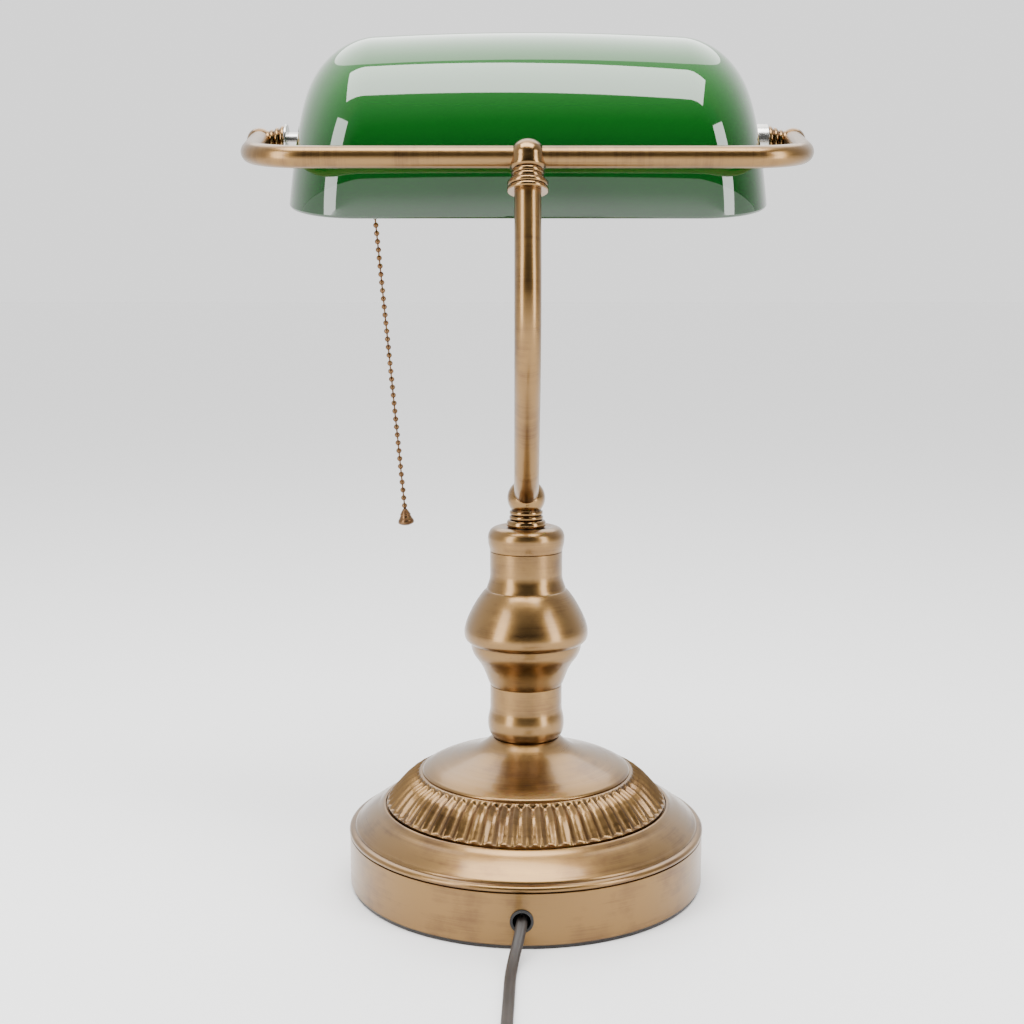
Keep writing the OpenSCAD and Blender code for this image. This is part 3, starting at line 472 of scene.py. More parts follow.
def sweep(name, path, across, outline, material, body, rims=True):
    """An outline of (sideways, upwards) points carried along a path. across is the
    sideways direction at each point, and upwards is at right angles to both."""
    tangent = path_frames(path)
    across = across - tangent * np.sum(across * tangent, axis=1)[:, None]
    across /= np.linalg.norm(across, axis=1)[:, None]
    up = np.cross(across, tangent)
    outline = np.broadcast_to(outline, (len(path), *np.shape(outline)[-2:]))
    grid = (path[:, None, :] + across[:, None, :] * outline[..., :1]
            + up[:, None, :] * outline[..., 1:2])
    along = np.concatenate([[0], np.cumsum(np.linalg.norm(np.diff(path, axis=0), axis=1))])
    lay = np.stack([outline[..., 0], outline[..., 1],
                    along[:, None] + 0 * outline[..., 0]], axis=-1)
    rows, sides = grid.shape[:2]
    faces = grid_faces(rows, sides, True).tolist()
    if rims:
        faces.append(list(range(sides))[::-1])
        faces.append([(rows - 1) * sides + k for k in range(sides)])
    return make_piece(name, grid, faces, lay.reshape(-1, 3), [material], body)


def circle(radius, sides):
    """Outline of a circle, in metres, going round clockwise seen along the path."""
    turn = np.linspace(0, 2 * np.pi, sides, endpoint=False)
    return np.stack([radius * np.cos(turn), radius * np.sin(turn)], axis=-1)


def arc(start, stop, radius, centre, count):
    """Points on an arc in a plane, from angle start to stop about centre."""
    a = np.linspace(start, stop, count)
    return np.stack([centre[0] + radius * np.cos(a), centre[1] + radius * np.sin(a)], axis=-1)


def straight(a, b, count):
    """Evenly spaced points from a to b."""
    return np.linspace(a, b, count)


def chain_paths(*pieces):
    """Joins stretches of a path and drops the doubled points between them."""
    whole = np.vstack(pieces)
    keep = np.concatenate([[True], np.linalg.norm(np.diff(whole, axis=0), axis=1) > 1e-7])
    return whole[keep]


# ---- base and spindle --------------------------------------------------------

BASE_LINE = [
    (80, 1.6), (87.8, 1.6, 1), (88.4, 2.3, 1), (88.4, 26.2, 1), (87.75, 26.6, 1),
    (88.3, 26.95, 1), (88.65, 27.6), (88.6, 28.5), (87.9, 29.3), (86.9, 29.6, 1),
    (85.7, 29.75, 1), (85.6, 30.3, 1), (85.1, 30.9), (84, 31.7), (82, 33.3), (80, 34.8),
    (78, 36.2), (76, 37.5), (74, 38.7), (72.4, 39.9), (71.3, 40.5), (70.5, 40.3, 1),
    (70.1, 39.6, 1), (68.6, 39.5, 1), (66, 39.5),
]
BAND_LINE = [
    (68.6, 39.8), (69.4, 40.2), (69.7, 41.2), (69.2, 42.4), (68, 43.9), (67, 45),
    (66, 46.2), (65, 47.3), (64, 48.4), (63, 49.5), (62, 50.5), (61, 51.4), (60, 52.3),
    (59, 53.0), (58, 53.6), (56, 54.7), (54.6, 55.4), (53.4, 56), (52.2, 56.2), (51, 55.9),
    (49, 55.9),
]
DISH_LINE = [
    (49, 55.6), (51.0, 55.7, 1), (51.7, 56.1), (51.85, 56.7), (51.4, 57.3), (50.2, 58),
    (48, 59.15), (46, 60), (44, 60.7), (42, 61.4), (40, 62), (36, 63.3), (32, 64.6),
    (28, 66.05), (24, 67.9), (20.4, 70.3), (18, 72.3), (16.6, 73.4, 1), (15, 73.4),
]
FOOT_LINE = [
    (14, 73.6), (16.1, 73.6, 1), (17.2, 74.5), (18.2, 76.2), (18.8, 78.4), (19, 80.8),
    (18.9, 83), (18.5, 85.2), (18.05, 87.2), (17.87, 89.2), (17.85, 92), (17.85, 100.05, 1),
    (17.6, 100.25, 1), (16, 100.25),
]
BULGE_LINE = [
    (16, 100.3), (17.6, 100.3, 1), (17.95, 100.55, 1), (18.6, 102), (19.6, 104.6),
    (20.6, 107.2), (21.8, 109.8), (23.6, 112.6), (25.6, 115.3), (26.9, 118.2),
    (27.45, 121.6, 1), (28.9, 122.5), (30.1, 123.9), (30.6, 125.8), (30.6, 128.2),
    (30.0, 131), (28.7, 134.5), (26.5, 139), (23.2, 144.4), (20.2, 148), (19.6, 148.4, 1),
    (19.5, 149.1), (18.8, 151.2), (18.1, 153.4), (17.85, 155.6), (17.85, 158),
    (17.85, 167.3, 1), (17.6, 167.48, 1), (16, 167.48),
]
CAP_LINE = [
    (16, 167.52), (17.6, 167.52, 1), (17.88, 167.8, 1), (18.1, 169), (18.6, 171),
    (18.83, 173), (18.85, 174.8), (18.5, 176.4), (17.9, 177.5), (16.9, 178.6), (15.2, 179.4),
    (13.6, 179.7), (12, 179.5), (10.6, 179.2, 1), (9, 179.2),
]
ELBOW_LINE = [
    (7, 179.5), (9.2, 179.55, 1), (9.62, 180.1), (9.7, 181), (9.5, 182), (8.9, 182.75),
    (7.9, 182.95, 1), (8.2, 183.35), (8.38, 184.1), (8.2, 184.85), (7.5, 185.25, 1),
    (8.0, 185.65), (8.22, 186.5), (8.0, 187.35), (7.25, 187.75, 1),
]


def ball_line(radius, centre, start_z, count=40):
    """Quarter and more of a circle from the height start_z up to the pole."""
    a = np.linspace(math.asin((start_z - centre) / radius), math.pi / 2, count)
    line = np.stack([radius * np.cos(a), centre + radius * np.sin(a)], axis=-1)
    line[-1, 0] = 0
    return line


def fluted_band(sizes, material):
    """Quarter-round band whose surface is pushed in along its normal by depth times
    |cos(n a / 2)|, softened at the ridges, fading to nothing at the band's two edges."""
    line = smooth_line(BAND_LINE, 0.75) * MM
    slope = np.gradient(line, axis=0)
    slope /= np.linalg.norm(slope, axis=1)[:, None]
    normal = np.stack([slope[:, 1], -slope[:, 0]], axis=-1)
    along = np.concatenate([[0], np.cumsum(np.linalg.norm(np.diff(line, axis=0), axis=1))])
    top = along[np.argmin(np.abs(line[:, 0] - 0.0535))]
    low = along[np.argmin(np.abs(line[:, 1] - 0.0412) + (along > 0.01))]
    fade = (np.clip((along - low) / 0.0022, 0, 1) * np.clip((top - along) / 0.003, 0, 1))
    fade = np.sqrt(fade * (2 - fade))
    sides = sizes.flutes * 12
    turn = np.linspace(0, 2 * np.pi, sides, endpoint=False)
    flute = np.sqrt(np.cos(sizes.flutes * turn / 2) ** 2 + 0.012)
    depth = sizes.flute_depth * fade[:, None] * flute[None, :]
    r = line[:, :1] - normal[:, :1] * depth
    z = line[:, 1:] - normal[:, 1:] * depth
    grid = np.stack([r * np.cos(turn), r * np.sin(turn), z], axis=-1)
    lay = np.stack([grid[..., 0], grid[..., 1], along[:, None] + 0 * turn], axis=-1)
    band = make_piece("fluted_band_skin", grid, grid_faces(len(line), sides, True),
                      lay.reshape(-1, 3), [material], "stand", crease=60)
    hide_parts("fluted_band")


def build_stand(sizes):
    """Base, spindle and lower elbow."""
    brass = FINISH["brass"]
    near = np.radians(5.6)
    turn = np.concatenate([np.linspace(-np.pi / 2 - near, -np.pi / 2 + near, 60),
                           np.linspace(-np.pi / 2 + near, 1.5 * np.pi - near, 244)[1:-1]])
    base = lathe("base_skin", smooth_line(BASE_LINE), brass, "stand",
                 turn=turn, hole=(-2.6, 13.6, 4.75))
    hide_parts("base_shell")
    pieces = [("dish_skin", DISH_LINE, "dish_cap", 192),
              ("spindle_foot_skin", FOOT_LINE, "spindle_foot", 128),
              ("spindle_bulge_skin", BULGE_LINE, "spindle_bulge", 160),
              ("spindle_cap_skin", CAP_LINE, "spindle_cap", 128)]
    for name, line, node, sides in pieces:
        piece = lathe(name, smooth_line(line), brass, "stand", sides=sides)
        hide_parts(node)
    fluted_band(sizes, brass)
    z = sizes.ball_z / MM
    r = sizes.ball_r / MM
    line = np.vstack([smooth_line(ELBOW_LINE, 0.3), ball_line(r, z, 187.9)])
    elbow = lathe("lower_elbow_skin", line, FINISH["bright_brass_cast"],
                  "stand", sides=96)
    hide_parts("lower_elbow")


# ---- arm, hub and yoke -------------------------------------------------------

def arm_path(sizes):
    """Centre line in the plane X = 0: straight, arc, straight, arc, straight. The two
    straights' lengths are what is left of the way to the hub after both arcs."""
    def back(a):
        return np.array([-math.sin(a), math.cos(a)])

    low, high, stub, inset = 45 * MM, 70 * MM, 8 * MM, 3.5 * MM
    a0, a1, a2 = sizes.arm_start, sizes.arm_lean, -sizes.arm_top
    ball = np.array([0, sizes.ball_z])
    p1 = ball + stub * back(a0)
    c1 = p1 + low * np.array([math.cos(a0), math.sin(a0)])
    first = arc(math.pi + a0, math.pi + a1, low, c1, 24)
    p2 = first[-1]
    shift = high * np.array([math.cos(a1) - math.cos(a2), math.sin(a1) - math.sin(a2)])
    hub = np.array([sizes.hub_y, sizes.hub_z])
    lengths = np.linalg.solve(np.stack([back(a1), back(a2)], axis=-1), hub - p2 - shift)
    p3 = p2 + lengths[0] * back(a1)
    c2 = p3 + high * np.array([math.cos(a1), math.sin(a1)])
    second = arc(math.pi + a1, math.pi + a2, high, c2, 60)
    end = hub - 7 * MM * back(a2)
    plane = chain_paths(straight(ball + inset * back(a0), p1, 5), first,
                        straight(p2, p3, 30), second, straight(second[-1], end, 26))
    return np.column_stack([np.zeros(len(plane)), plane])


HUB_LINE = [
    (6.1, -15.9), (8.9, -16, 1), (9.25, -15.5), (9.3, -14.8), (9.0, -14.1), (8.4, -13.8, 1),
    (8.9, -13.4), (9.2, -12.6), (9.0, -11.7), (8.2, -11.1, 1), (6.9, -10.9, 1), (7.25, -10.4),
    (7.4, -9.6), (7.2, -8.8), (6.7, -8.45, 1), (7.1, -8.1), (7.3, -7.3), (7.1, -6.4),
    (6.8, -6.05, 1), (7.5, -5.6), (8.05, -4.9, 1), (8.15, -4.4), (8.15, 0),
]


def yoke_path(sizes):
    """Centre line of the yoke in its own plane, from the left end to the right end."""
    r, splay = sizes.bend_r, sizes.splay
    sweep_angle = math.pi / 2 - splay
    bend = arc(-math.pi / 2, -math.pi / 2 + sweep_angle, r, (sizes.half, r), 40)
    run = np.array([math.sin(splay), math.cos(splay)])
    side = straight(bend[-1], bend[-1] + sizes.side * run, 24)
    right = chain_paths(straight([0.0, 0.0], [sizes.half, 0.0], 50), bend, side)
    left = right[::-1] * np.array([-1, 1])
    plane = chain_paths(left, right)
    c, s = math.cos(sizes.slope), math.sin(sizes.slope)
    stand = bpy.context.scene.lamp_stand
    return np.column_stack([plane[:, 0], stand.hub_y + plane[:, 1] * c,
                            stand.hub_z + plane[:, 1] * s])


END_LINE = [
    (4.7, 3.4, 1), (4.95, 4.2), (4.75, 5, 1), (5.1, 5.35), (5.5, 6.2), (5.2, 7), (4.9, 7.4, 1),
    (5.7, 7.8), (6.4, 8.5), (6.5, 9.2), (6.1, 9.9), (5.9, 10.2, 1), (6.5, 10.5), (7.15, 11.1),
    (7.3, 11.8), (7.1, 12.35, 1), (4.1, 12.4),
]


def build_yoke(stand, sizes):
    """Arm tube, hub, yoke tube and both end elbows."""
    brass, cast = FINISH["brass"], FINISH["bright_brass_cast"]
    path = arm_path(stand)
    arm = sweep("arm_tube_skin", path, np.tile([1.0, 0, 0], (len(path), 1)),
                circle(stand.arm_r, 48), brass, "stand")
    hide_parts("arm_tube")
    lean = Matrix.Translation((0, stand.hub_y, stand.hub_z)) @ Matrix.Rotation(
        -stand.arm_top, 4, "X")
    line = np.vstack([smooth_line(HUB_LINE, 0.3), ball_line(8.15, 0, 0.2)])
    hub = lathe("yoke_hub_skin", line, cast, "stand", lean, sides=96)
    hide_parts("yoke_hub")
    path = yoke_path(sizes)
    normal = np.array([0, -math.sin(sizes.slope), math.cos(sizes.slope)])
    tube = sweep("yoke_tube_skin", path, np.tile(normal, (len(path), 1)),
                 circle(sizes.tube_r, 48), brass, "stand")
    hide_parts("yoke_tube")
    ball = ball_line(6.3, 0, -4.2)[::-1] * np.array([1, -1])
    line = np.vstack([ball, smooth_line(END_LINE, 0.25)])
    for side, name in ((-1, "left"), (1, "right")):
        place = Matrix.Translation((side * sizes.end_x, sizes.pivot_y, sizes.pivot_z)) \
            @ Matrix.Rotation(-side * math.pi / 2, 4, "Y")
        elbow = lathe(f"{name}_elbow_skin", line, cast, "stand", place,
                      sides=72)
        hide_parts(f"{name}_elbow")


# ---- shade -------------------------------------------------------------------

def shade_place(sizes, yoke):
    """Matrix from the shade's own frame, rim at height 0, to its place."""
    return (Matrix.Translation((sizes.shift, yoke.pivot_y, yoke.pivot_z))
            @ Matrix.Rotation(sizes.tilt, 4, "X") @ Matrix.Translation((0, 0, -sizes.pivot)))


def shade_grid(sizes, inset, ribs):
    """Half-elliptic vault: stations along X, each a half ellipse of half depth b and height
    h, with b and h rising from the flat end face by a quarter circle of the corner and
    shoulder radii, ends narrowed by the draft and the top lifted by the crown."""
    half, depth, height = sizes.half - inset, sizes.depth - inset, sizes.height - inset
    corner, shoulder = sizes.corner - inset, sizes.shoulder - inset
    q = np.linspace(0, np.pi / 2, 22)
    x = half - corner + corner * np.cos(q)
    b = depth - corner + corner * np.sin(q)
    h = height - sizes.crown - shoulder + shoulder * np.sin(q)
    fill = np.sin(np.linspace(0, np.pi / 2, 9))[:-1]
    x = np.concatenate([np.full(len(fill), half), x])
    b = np.concatenate([b[0] * fill, b])
    h = np.concatenate([h[0] * fill, h])
    f = np.linspace(-1, 1, 34)[1:-1]
    x = np.concatenate([-x, f * (half - corner), x[::-1]])
    b = np.concatenate([b, np.full(len(f), depth), b[::-1]])
    h = np.concatenate([h, height - sizes.crown * f**2, h[::-1]])
    a = np.linspace(0, np.pi, ribs)[None, :]
    z = h[:, None] * np.sin(a)
    y = b[:, None] * np.cos(a)
    return np.stack([x[:, None] * (1 - sizes.draft * z), y, z], axis=-1)


def build_glass(sizes, yoke):
    """The cased glass: outer vault, inner vault a wall inside it, and a rounded rim that
    joins them, a half circle from wall to wall."""
    ribs = 97
    outer = shade_grid(sizes, 0, ribs)
    inner = shade_grid(sizes, sizes.wall, ribs)
    rows = len(outer)
    blend = np.linspace(0, np.pi, 7)[1:-1]
    strips, lift = [], 0.0016
    for grid in (outer, inner):
        grid[..., 2] = lift + grid[..., 2] * (1 - lift / sizes.height)
    for column in (0, ribs - 1):
        a, b = outer[:, column], inner[:, column]
        middle, reach = (a + b) / 2, (a - b) / 2
        drop = np.array([0, 0, -lift])
        strips.append(middle[:, None] + reach[:, None] * np.cos(blend)[None, :, None]
                      + drop * np.sin(blend)[None, :, None])
    parts = [outer.reshape(-1, 3), inner.reshape(-1, 3)] + [s.reshape(-1, 3) for s in strips]
    faces = [grid_faces(rows, ribs, False)[:, ::-1], grid_faces(rows, ribs, False, rows * ribs)]
    count = rows * ribs
    for n, column in enumerate((0, ribs - 1)):
        first = 2 * count + n * rows * len(blend)
        mid = first + np.arange(rows * len(blend)).reshape(rows, -1)
        edge = np.column_stack([np.arange(rows) * ribs + column, mid,
                                count + np.arange(rows) * ribs + column])
        quads = np.stack([edge[:-1, :-1], edge[1:, :-1], edge[1:, 1:], edge[:-1, 1:]], axis=-1)
        quads = quads.reshape(-1, 4)
        faces.append(quads if column == 0 else quads[:, ::-1])
    index = np.concatenate([np.full(len(f), int(n == 1)) for n, f in enumerate(faces)])
    points = np.vstack(parts)
    place = shade_place(sizes, yoke)
    points = points @ np.array(place.to_3x3()).T + np.array(place.translation)
    faces = np.vstack(faces)
    rounded = np.round(points, 7)
    _, first, inverse = np.unique(rounded, axis=0, return_index=True, return_inverse=True)
    faces = inverse.reshape(-1)[faces]
    points = points[first]
    whole = np.array([len(set(f)) > 2 for f in faces.tolist()])
    glass = make_piece("glass_shade_skin", points, faces[whole], points,
                       [FINISH["glass"], FINISH["opal"]], "shade",
                       index[whole], crease=80)
    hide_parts("glass_shade")
    return glass


def ring_line(inner, outer, start, stop, edge=0.25):
    """Section of a turned ring with small chamfers, its axis upwards."""
    return [(inner, start), (inner, stop), (outer - edge, stop), (outer, stop - edge),
            (outer, start + edge), (outer - edge, start), (inner, start)][::-1]


def turned_ring(name, spans, material, body, yoke, nodes, sides=64):
    """Rings on the pivots' axis, each span (inner, outer, from, to) in millimetres."""
    first = None
    turn = Matrix.Translation((0, yoke.pivot_y, yoke.pivot_z)) \
        @ Matrix.Rotation(math.pi / 2, 4, "Y")
    for n, (inner, outer, start, stop) in enumerate(spans):
        piece = lathe(name if n == 0 else f"{name}_{n + 1}",
                      ring_line(inner, outer, start, stop), material, body,
                      turn, sides)
        if first is None:
            first = piece
    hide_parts(*nodes)


def build_hardware(sizes, yoke):
    """Nickel washer, spacer and nipples at the pivots, and the rubber washers on the glass."""
    end = yoke.end_x / MM
    face = sizes.half / MM * (1 - sizes.draft * sizes.pivot)
    left, right = sizes.shift / MM - face, sizes.shift / MM + face
    nickel, rubber = FINISH["nickel"], FINISH["rubber"]
    turned_ring("left_washer_skin", [(4.05, 8, -end + 12.7, -end + 13.9)], nickel,
                "shade", yoke, ["left_washer"])
    turned_ring("right_spacer_skin", [(4.05, 8, right + 1.1, right + 7.1)], nickel,
                "shade", yoke, ["right_spacer"])
    turned_ring("left_nipple_skin", [(2.4, 4, -end + 5.6, left + 13.6)], nickel,
                "shade", yoke, ["left_nipple"])
    turned_ring("right_nipple_skin", [(2.4, 4, right - 11.6, end - 5.6)], nickel,
                "shade", yoke, ["right_nipple"])
    turned_ring("rubber_washer_skin", [
        (4.05, 7.4, left - 1.5, left - 0.02), (4.05, 9, left + 3.62, left + 5.1),
        (4.05, 7.4, right + 0.02, right + 1.0), (4.05, 9, right - 5.1, right - 3.62)],
        rubber, "shade", yoke, ["rubber_washers"])


# ---- pull chain --------------------------------------------------------------

def build_chain(sizes):
    """Bead chain, fob and connector on one leaning line. The chain's radius at s along it
    is that of the nearest bead, sqrt(r^2 - d^2), never thinner than its wire."""
    top = Vector((-76.4338, 35.3922, 340.147)) * MM
    line_place = Matrix.Translation(top) @ Matrix.Rotation(-sizes.lean, 4, "Y")
    pitch, bead = sizes.pitch / MM, sizes.bead / MM
    start = -8.0
    reach = np.linspace(-1, 1, 13)
    d = bead * np.sin(reach * math.pi / 2)
    r = np.maximum(np.sqrt(np.maximum(bead**2 - d**2, 0)), 0.42)
    centres = start - bead - pitch * np.arange(sizes.count)
    z = (centres[::-1, None] + d[None, :]).ravel()
    line = np.column_stack([np.tile(r, sizes.count), z])
    line = np.vstack([[0, line[0, 1]], line, [0, line[-1, 1]]])
    chain = lathe("pull_chain_skin", line, FINISH["bronze"], "chain",
                  line_place, sides=16, crease=60)
    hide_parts("pull_chain")
    low = start - bead * 2 - pitch * (sizes.count - 1) - 8.8
    fob = [(0, 0.9), (1.0, 0.75, 1), (1.35, 0.2), (1.9, 0.15, 1), (3.3, 0.7), (4.0, 1.3),
           (4.1, 2.0), (3.9, 2.8), (3.1, 4.1), (2.65, 5.2, 1), (2.75, 5.7), (2.3, 6.5),
           (1.9, 7.2), (1.3, 8.1), (0.7, 8.8), (0, 8.85)]
    line = smooth_line([(q[0], q[1] + low, *q[2:]) for q in fob], 0.25)
    line[[0, -1], 0] = 0
    piece = lathe("chain_fob_skin", line, FINISH["bronze"], "chain",
                  line_place, sides=48)
    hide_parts("chain_fob")
    clasp = [(0, -7.45), (1.1, -7.4), (1.8, -6.9), (2.05, -6.2), (2.05, -5, 1), (1.7, -4.6, 1),
             (1.7, -3.6, 1), (2.05, -3.2, 1), (2.05, -1.9), (1.8, -1.0), (1.1, -0.6),
             (0, -0.55)]
    line = smooth_line(clasp, 0.25)
    line[[0, -1], 0] = 0
    piece = lathe("chain_connector_skin", line, FINISH["bronze"], "connector",
                  line_place, sides=32)
    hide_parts("chain_connector")


# ---- cord --------------------------------------------------------------------

CORD_ROUTE = [
    (-2.6, -85, 14), (-2.7, -88.5, 12.7), (-3.2, -92, 11), (-4, -96, 8.6), (-5, -100, 6.2),
    (-6, -104.5, 4.1), (-6.8, -109.5, 2.5), (-7.4, -115, 1.7), (-7.8, -121, 1.45),
    (-8.1, -130, 1.45), (-8.4, -140, 1.45), (-8.8, -152, 1.45), (-9.2, -165, 1.45),
    (-9.5, -178, 1.6), (-9.6, -190, 2), (-9.6, -202, 2.5), (-9.6, -214, 2.7),
]


def through(points, step):
    """Curve through points in space, a cubic whose slope at each point is the chord across
    it, resampled evenly every step."""
    p = np.array(points, float)
    slope = np.gradient(p, axis=0)
    n = 24
    t = np.tile(np.arange(n) / n, len(p) - 1)[:, None]
    k = np.repeat(np.arange(len(p) - 1), n)
    a, b = p[k], p[k + 1]
    line = ((2 * t**3 - 3 * t**2 + 1) * a + (t**3 - 2 * t**2 + t) * slope[k]
            + (3 * t**2 - 2 * t**3) * b + (t**3 - t**2) * slope[k + 1])
    line = np.vstack([line, p[-1:]])
    return even(line, step)


def even(line, step):
    """The same line with its points evenly spaced."""
    s = np.concatenate([[0], np.cumsum(np.linalg.norm(np.diff(line, axis=0), axis=1))])
    t = np.linspace(0, s[-1], max(2, int(round(s[-1] / step)) + 1))
    return np.column_stack([np.interp(t, s, line[:, i]) for i in range(3)])


def rise(value, start, stop):
    """Smooth step from 0 at start to 1 at stop."""
    t = np.clip((value - start) / (stop - start), 0, 1)
    return t * t * (3 - 2 * t)


def coil_path(sizes):
    """Two layers of turns. Each bottom turn keeps its radius and steps inwards by one pitch
    in its last 50 degrees; the cord then climbs a layer and steps outwards turn by turn."""
    pitch, layer, low = 3.0, 5.4, 2.7
    outer = sizes.coil_r / MM
    turns = 5
    a = np.arange(0, 360 * (2 * turns - 1) + 90 + 1, 6.0)
    r = np.full(len(a), outer)
    for n in range(1, turns):
        r -= pitch * rise(a, 360 * n - 50, 360 * n)
    z = low + layer * rise(a, 360 * turns - 60, 360 * turns)
    for n in range(1, turns):
        r += pitch * rise(a, 360 * (turns + n) - 110, 360 * (turns + n) - 50)
    turn = np.radians(180 + a)
    return np.column_stack([sizes.coil_x / MM + r * np.cos(turn),
                            sizes.coil_y / MM + r * np.sin(turn), z])


def twin_outline(width, thick, sides=20):
    """Outline of a flat twin cord: two round cores side by side, with a shallow groove
    where their sheaths meet."""
    core = thick / 2
    a = np.linspace(0, 2 * np.pi, sides, endpoint=False) + np.pi / sides
    x = width / 2 * np.cos(a)
    centre = width / 2 - core
    high = np.sqrt(np.maximum(core**2 - (np.abs(x) - centre) ** 2, 0))
    high = np.where(np.abs(x) < centre, np.maximum(high, core * 0.74), high)
    return np.column_stack([x, high * np.sign(np.sin(a))])


def build_cord(sizes):
    """Free stretch, twist onto edge, coil, tail and plug."""
    free = through(CORD_ROUTE, 1.6)
    coil = coil_path(sizes)
    x0, y0 = sizes.coil_x / MM, sizes.coil_y / MM - sizes.coil_r / MM
    tail = through([(x0 + 2, y0, 8.1), (x0 + 6, y0, 7.7), (x0 + 11, y0, 6.6),
                    (x0 + 17, y0, 6.0), (x0 + 22, y0, 6.0)], 1.6)
    path = chain_paths(free, coil[1:], tail)
    along = np.concatenate([[0], np.cumsum(np.linalg.norm(np.diff(path, axis=0), axis=1))])
    total = len(free)
    start = along[total - 1]
    edge = math.pi / 2 * rise(along, start - 40, start)
    tangent = path_frames(path)
    side = np.cross(tangent, [0, 0, 1.0])
    side /= np.linalg.norm(side, axis=1)[:, None]
    up = np.cross(side, tangent)
    across = side * np.cos(edge)[:, None] + up * np.sin(edge)[:, None]
    outline = twin_outline(sizes.width, sizes.thick)
    cord = sweep("power_cord_skin", path * MM, across, outline, FINISH["cord"],
                 "stand")
    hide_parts("power_cord", "cord_coil")
    plug = build_plug(x0, y0)
    return cord


def build_plug(x0, y0):
    """Moulded two-blade plug: a tapered, ribbed sleeve and a body whose section grows from
    the sleeve's round end to a rounded rectangle, one outline carried along X."""
    x = np.array([13, 14, 15.5, 17, 17.5, 19, 19.5, 21, 21.5, 23, 23.5, 25, 25.5, 27, 27.5, 29,
                  29.5, 31, 31.5, 33, 35, 37, 39, 42, 46, 50, 54, 57, 59.5, 60.6, 61])
    wide = np.array([2.9, 3.1, 3.2, 3.3, 3.0, 3.1, 3.6, 3.7, 3.3, 3.4, 4.0, 4.1, 3.6, 3.7, 4.4,
                     4.5, 4.1, 4.2, 4.9, 5.2, 7.0, 8.6, 9.6, 10.2, 10.7, 11.1, 11.35, 11.4,
                     11.2, 10.6, 9.6])
    high = np.array([2.3, 2.5, 2.6, 2.7, 2.4, 2.5, 3.0, 3.1, 2.7, 2.8, 3.4, 3.5, 3.0, 3.1, 3.8,
                     3.9, 3.5, 3.6, 4.3, 4.6, 5.2, 5.6, 5.8, 5.9, 5.95, 5.95, 5.95, 5.9, 5.7,
                     5.1, 4.2])
    square = np.interp(x, [30, 42], [2.0, 4.5])
    a = np.linspace(0, 2 * np.pi, 48, endpoint=False)
    c, s = np.cos(a)[None, :], np.sin(a)[None, :]
    power = (2 / square)[:, None]
    outline = np.stack([wide[:, None] * np.sign(c) * np.abs(c) ** power,
                        high[:, None] * np.sign(s) * np.abs(s) ** power], axis=-1)
    path = np.column_stack([x0 + x, np.full(len(x), y0), np.full(len(x), 6.0)])
    plug = sweep("plug_body_skin", path * MM, np.tile([0.0, 1, 0], (len(x), 1)),
                 outline * MM, FINISH["plug"], "stand")
    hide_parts("plug_body")
    return plug


# ---- carried-over CAD nodes --------------------------------------------------

KEPT = {
    "felt_pad": "felt", "bottom_board": "board", "base_weight": "iron",
    "threaded_pipe": "zinc", "pipe_nut": "zinc", "lock_washer": "zinc", "hub_screw": "zinc",
    "shade_nuts": "nickel", "socket_cap": "socket", "socket_shell": "socket",
    "socket_liner": "board", "switch_block": "phenolic", "screw_shell": "socket",
    "centre_contact": "socket", "chain_guide": "socket", "switch_plunger": "bronze",
    "cord_grommet": "rubber", "base_lead": "cord", "plug_blades": "socket",
}


def finish_kept_nodes():
    """Gives every CAD node that still shows its finish."""
    for node, key in KEPT.items():
        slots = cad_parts[node].material_slots
        for entry in slots:
            entry.material = FINISH[key]


# ---- studio ------------------------------------------------------------------

def area_light(name, place, target, size, power, tint="#FFFFFF"):
    """A rectangular soft box at place that faces target."""
    data = bpy.data.lights.new(name, "AREA")
    data.shape = "RECTANGLE"
    data.size, data.size_y = size
    data.energy = power
    data.color = linear(tint)[:3]
    light = bpy.data.objects.new(name, data)
    light.location = place
    direction = Vector(target) - Vector(place)
    light.rotation_euler = direction.to_track_quat("-Z", "Y").to_euler()
    bpy.context.scene.collection.objects.link(light)
    return light


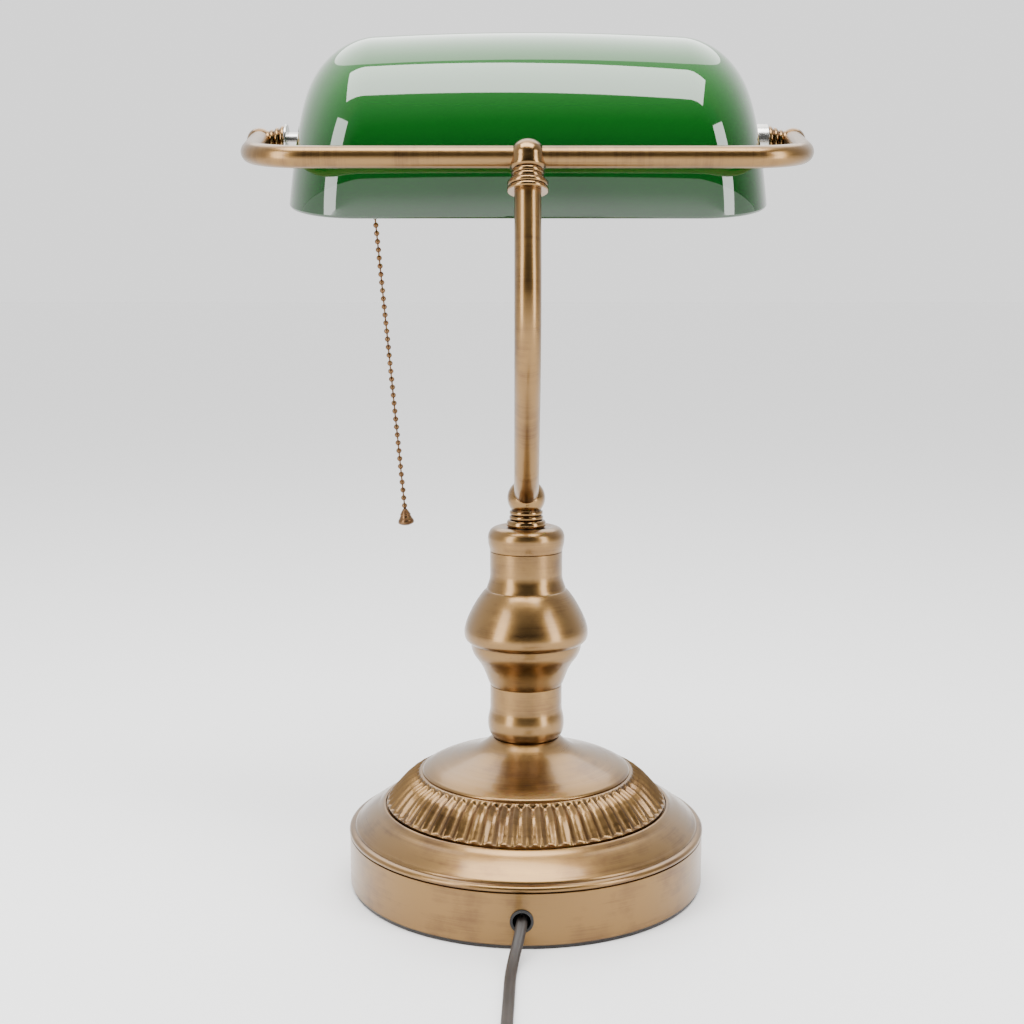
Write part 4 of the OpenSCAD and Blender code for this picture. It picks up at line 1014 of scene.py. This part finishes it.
def build_stage(words):
    """Camera, soft boxes, world and a pale floor."""
    data = bpy.data.cameras.new("view")
    data.lens, data.sensor_width = 52.73, 36.0
    camera = bpy.data.objects.new("view", data)
    camera.location = (-7.0 * MM, -729 * MM, 292.2 * MM)
    camera.rotation_euler = (math.radians(90 - 8.24), 0, 0)
    bpy.context.scene.collection.objects.link(camera)
    bpy.context.scene.camera = camera
    floor = bpy.data.meshes.new("floor")
    reach = 60.0
    floor.from_pydata([(-reach, -reach, 0), (reach, -reach, 0), (reach, reach, 0),
                       (-reach, reach, 0)], [], [(0, 1, 2, 3)])
    material, _, shader = new_material("studio_floor_matt_paint", Roughness=0.9)
    shader.inputs["Base Color"].default_value = linear(words.floor)
    floor.materials.append(material)
    ground = bpy.data.objects.new("floor", floor)
    bpy.context.scene.collection.objects.link(ground)
    world = bpy.data.worlds.new("studio")
    world.use_nodes = True
    tree = world.node_tree
    back = tree.nodes["Background"]
    way = add(tree, "ShaderNodeTexCoord").outputs["Generated"]
    lit = add(tree, "ShaderNodeVectorMath", {0: way}, operation="DOT_PRODUCT")
    lit.inputs[1].default_value = (-0.25, 1.0, 0.15)
    share = add(tree, "ShaderNodeMapRange", {"Value": lit.outputs["Value"]})
    share.inputs["From Min"].default_value = -0.7
    share.inputs["From Max"].default_value = 0.55
    share.inputs["To Min"].default_value = 0.06
    share.inputs["To Max"].default_value = 1.5
    tree.links.new(share.outputs["Result"], back.inputs["Strength"])
    back.inputs["Color"].default_value = (1, 1, 1, 1)
    bpy.context.scene.world = world
    area_light("strip_left", (-0.95, -0.75, 0.45), (0, 0, 0.2), (0.42, 1.5), 20)
    area_light("strip_right", (0.98, -0.68, 0.45), (0, 0, 0.2), (0.36, 1.3), 16)
    area_light("overhead", (-0.05, -0.26, 1.35), (0, 0.03, 0.4), (1.2, 0.55), 26)
    sun = bpy.data.lights.new("high_back", "SUN")
    sun.energy, sun.angle = 2.4, math.radians(60)
    high = bpy.data.objects.new("high_back", sun)
    high.rotation_euler = (math.radians(-35), 0, 0)
    bpy.context.scene.collection.objects.link(high)


# ---- operators ---------------------------------------------------------------

class LAMP_OT_stage(bpy.types.Operator):
    """Adds the camera, lights, world and floor"""
    bl_idname = "lamp.stage"
    bl_label = "Studio"

    def execute(self, context):
        build_stage(context.scene.lamp_finish)
        return {"FINISHED"}


class LAMP_OT_finishes(bpy.types.Operator):
    """Makes every material and finishes the carried-over nodes"""
    bl_idname = "lamp.finishes"
    bl_label = "Finishes"

    def execute(self, context):
        FINISH.update(make_finishes(context.scene.lamp_finish))
        finish_kept_nodes()
        return {"FINISHED"}


class LAMP_OT_cord(bpy.types.Operator):
    """Lays the flat cord, its coil and its plug"""
    bl_idname = "lamp.cord"
    bl_label = "Cord and plug"

    def execute(self, context):
        build_cord(context.scene.lamp_cord)
        return {"FINISHED"}


class LAMP_OT_stand(bpy.types.Operator):
    """Turns the base, fluted band, spindle and lower elbow"""
    bl_idname = "lamp.stand"
    bl_label = "Base and spindle"

    def execute(self, context):
        build_stand(context.scene.lamp_stand)
        return {"FINISHED"}


class LAMP_OT_yoke(bpy.types.Operator):
    """Bends the arm and yoke tubes and turns the hub and elbows"""
    bl_idname = "lamp.yoke"
    bl_label = "Arm and yoke"

    def execute(self, context):
        build_yoke(context.scene.lamp_stand, context.scene.lamp_yoke)
        return {"FINISHED"}


class LAMP_OT_glass(bpy.types.Operator):
    """Moulds the cased glass shade"""
    bl_idname = "lamp.glass"
    bl_label = "Glass shade"

    def execute(self, context):
        build_glass(context.scene.lamp_glass, context.scene.lamp_yoke)
        return {"FINISHED"}


class LAMP_OT_hardware(bpy.types.Operator):
    """Turns the washers, spacer and nipples"""
    bl_idname = "lamp.hardware"
    bl_label = "Pivot hardware"

    def execute(self, context):
        build_hardware(context.scene.lamp_glass, context.scene.lamp_yoke)
        return {"FINISHED"}


class LAMP_OT_chain(bpy.types.Operator):
    """Strings the bead chain with its connector and fob"""
    bl_idname = "lamp.chain"
    bl_label = "Pull chain"

    def execute(self, context):
        build_chain(context.scene.lamp_chain)
        return {"FINISHED"}


OPERATORS = [
    LAMP_OT_stage, LAMP_OT_finishes, LAMP_OT_cord, LAMP_OT_stand,
    LAMP_OT_yoke, LAMP_OT_glass, LAMP_OT_hardware, LAMP_OT_chain,
]


class LAMP_PT_panel(bpy.types.Panel):
    """Lists the lamp's building steps in the 3D view's sidebar"""
    bl_idname = "LAMP_PT_panel"
    bl_label = "Desk lamp"
    bl_space_type = "VIEW_3D"
    bl_region_type = "UI"
    bl_category = "Desk lamp"

    def draw(self, context):
        for one in OPERATORS:
            self.layout.operator(one.bl_idname, text=one.bl_label)


def register():
    for group in GROUPS.values():
        bpy.utils.register_class(group)
    for name, group in GROUPS.items():
        setattr(bpy.types.Scene, name, bpy.props.PointerProperty(type=group))
    for one in OPERATORS + [LAMP_PT_panel]:
        bpy.utils.register_class(one)


def unregister():
    for one in [LAMP_PT_panel] + OPERATORS[::-1]:
        bpy.utils.unregister_class(one)
    for name, group in GROUPS.items():
        delattr(bpy.types.Scene, name)
        bpy.utils.unregister_class(group)


def main():
    """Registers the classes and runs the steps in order."""
    register()
    for one in OPERATORS:
        getattr(bpy.ops.lamp, one.bl_idname.split(".")[1])()


if __name__ == "__main__":
    main()
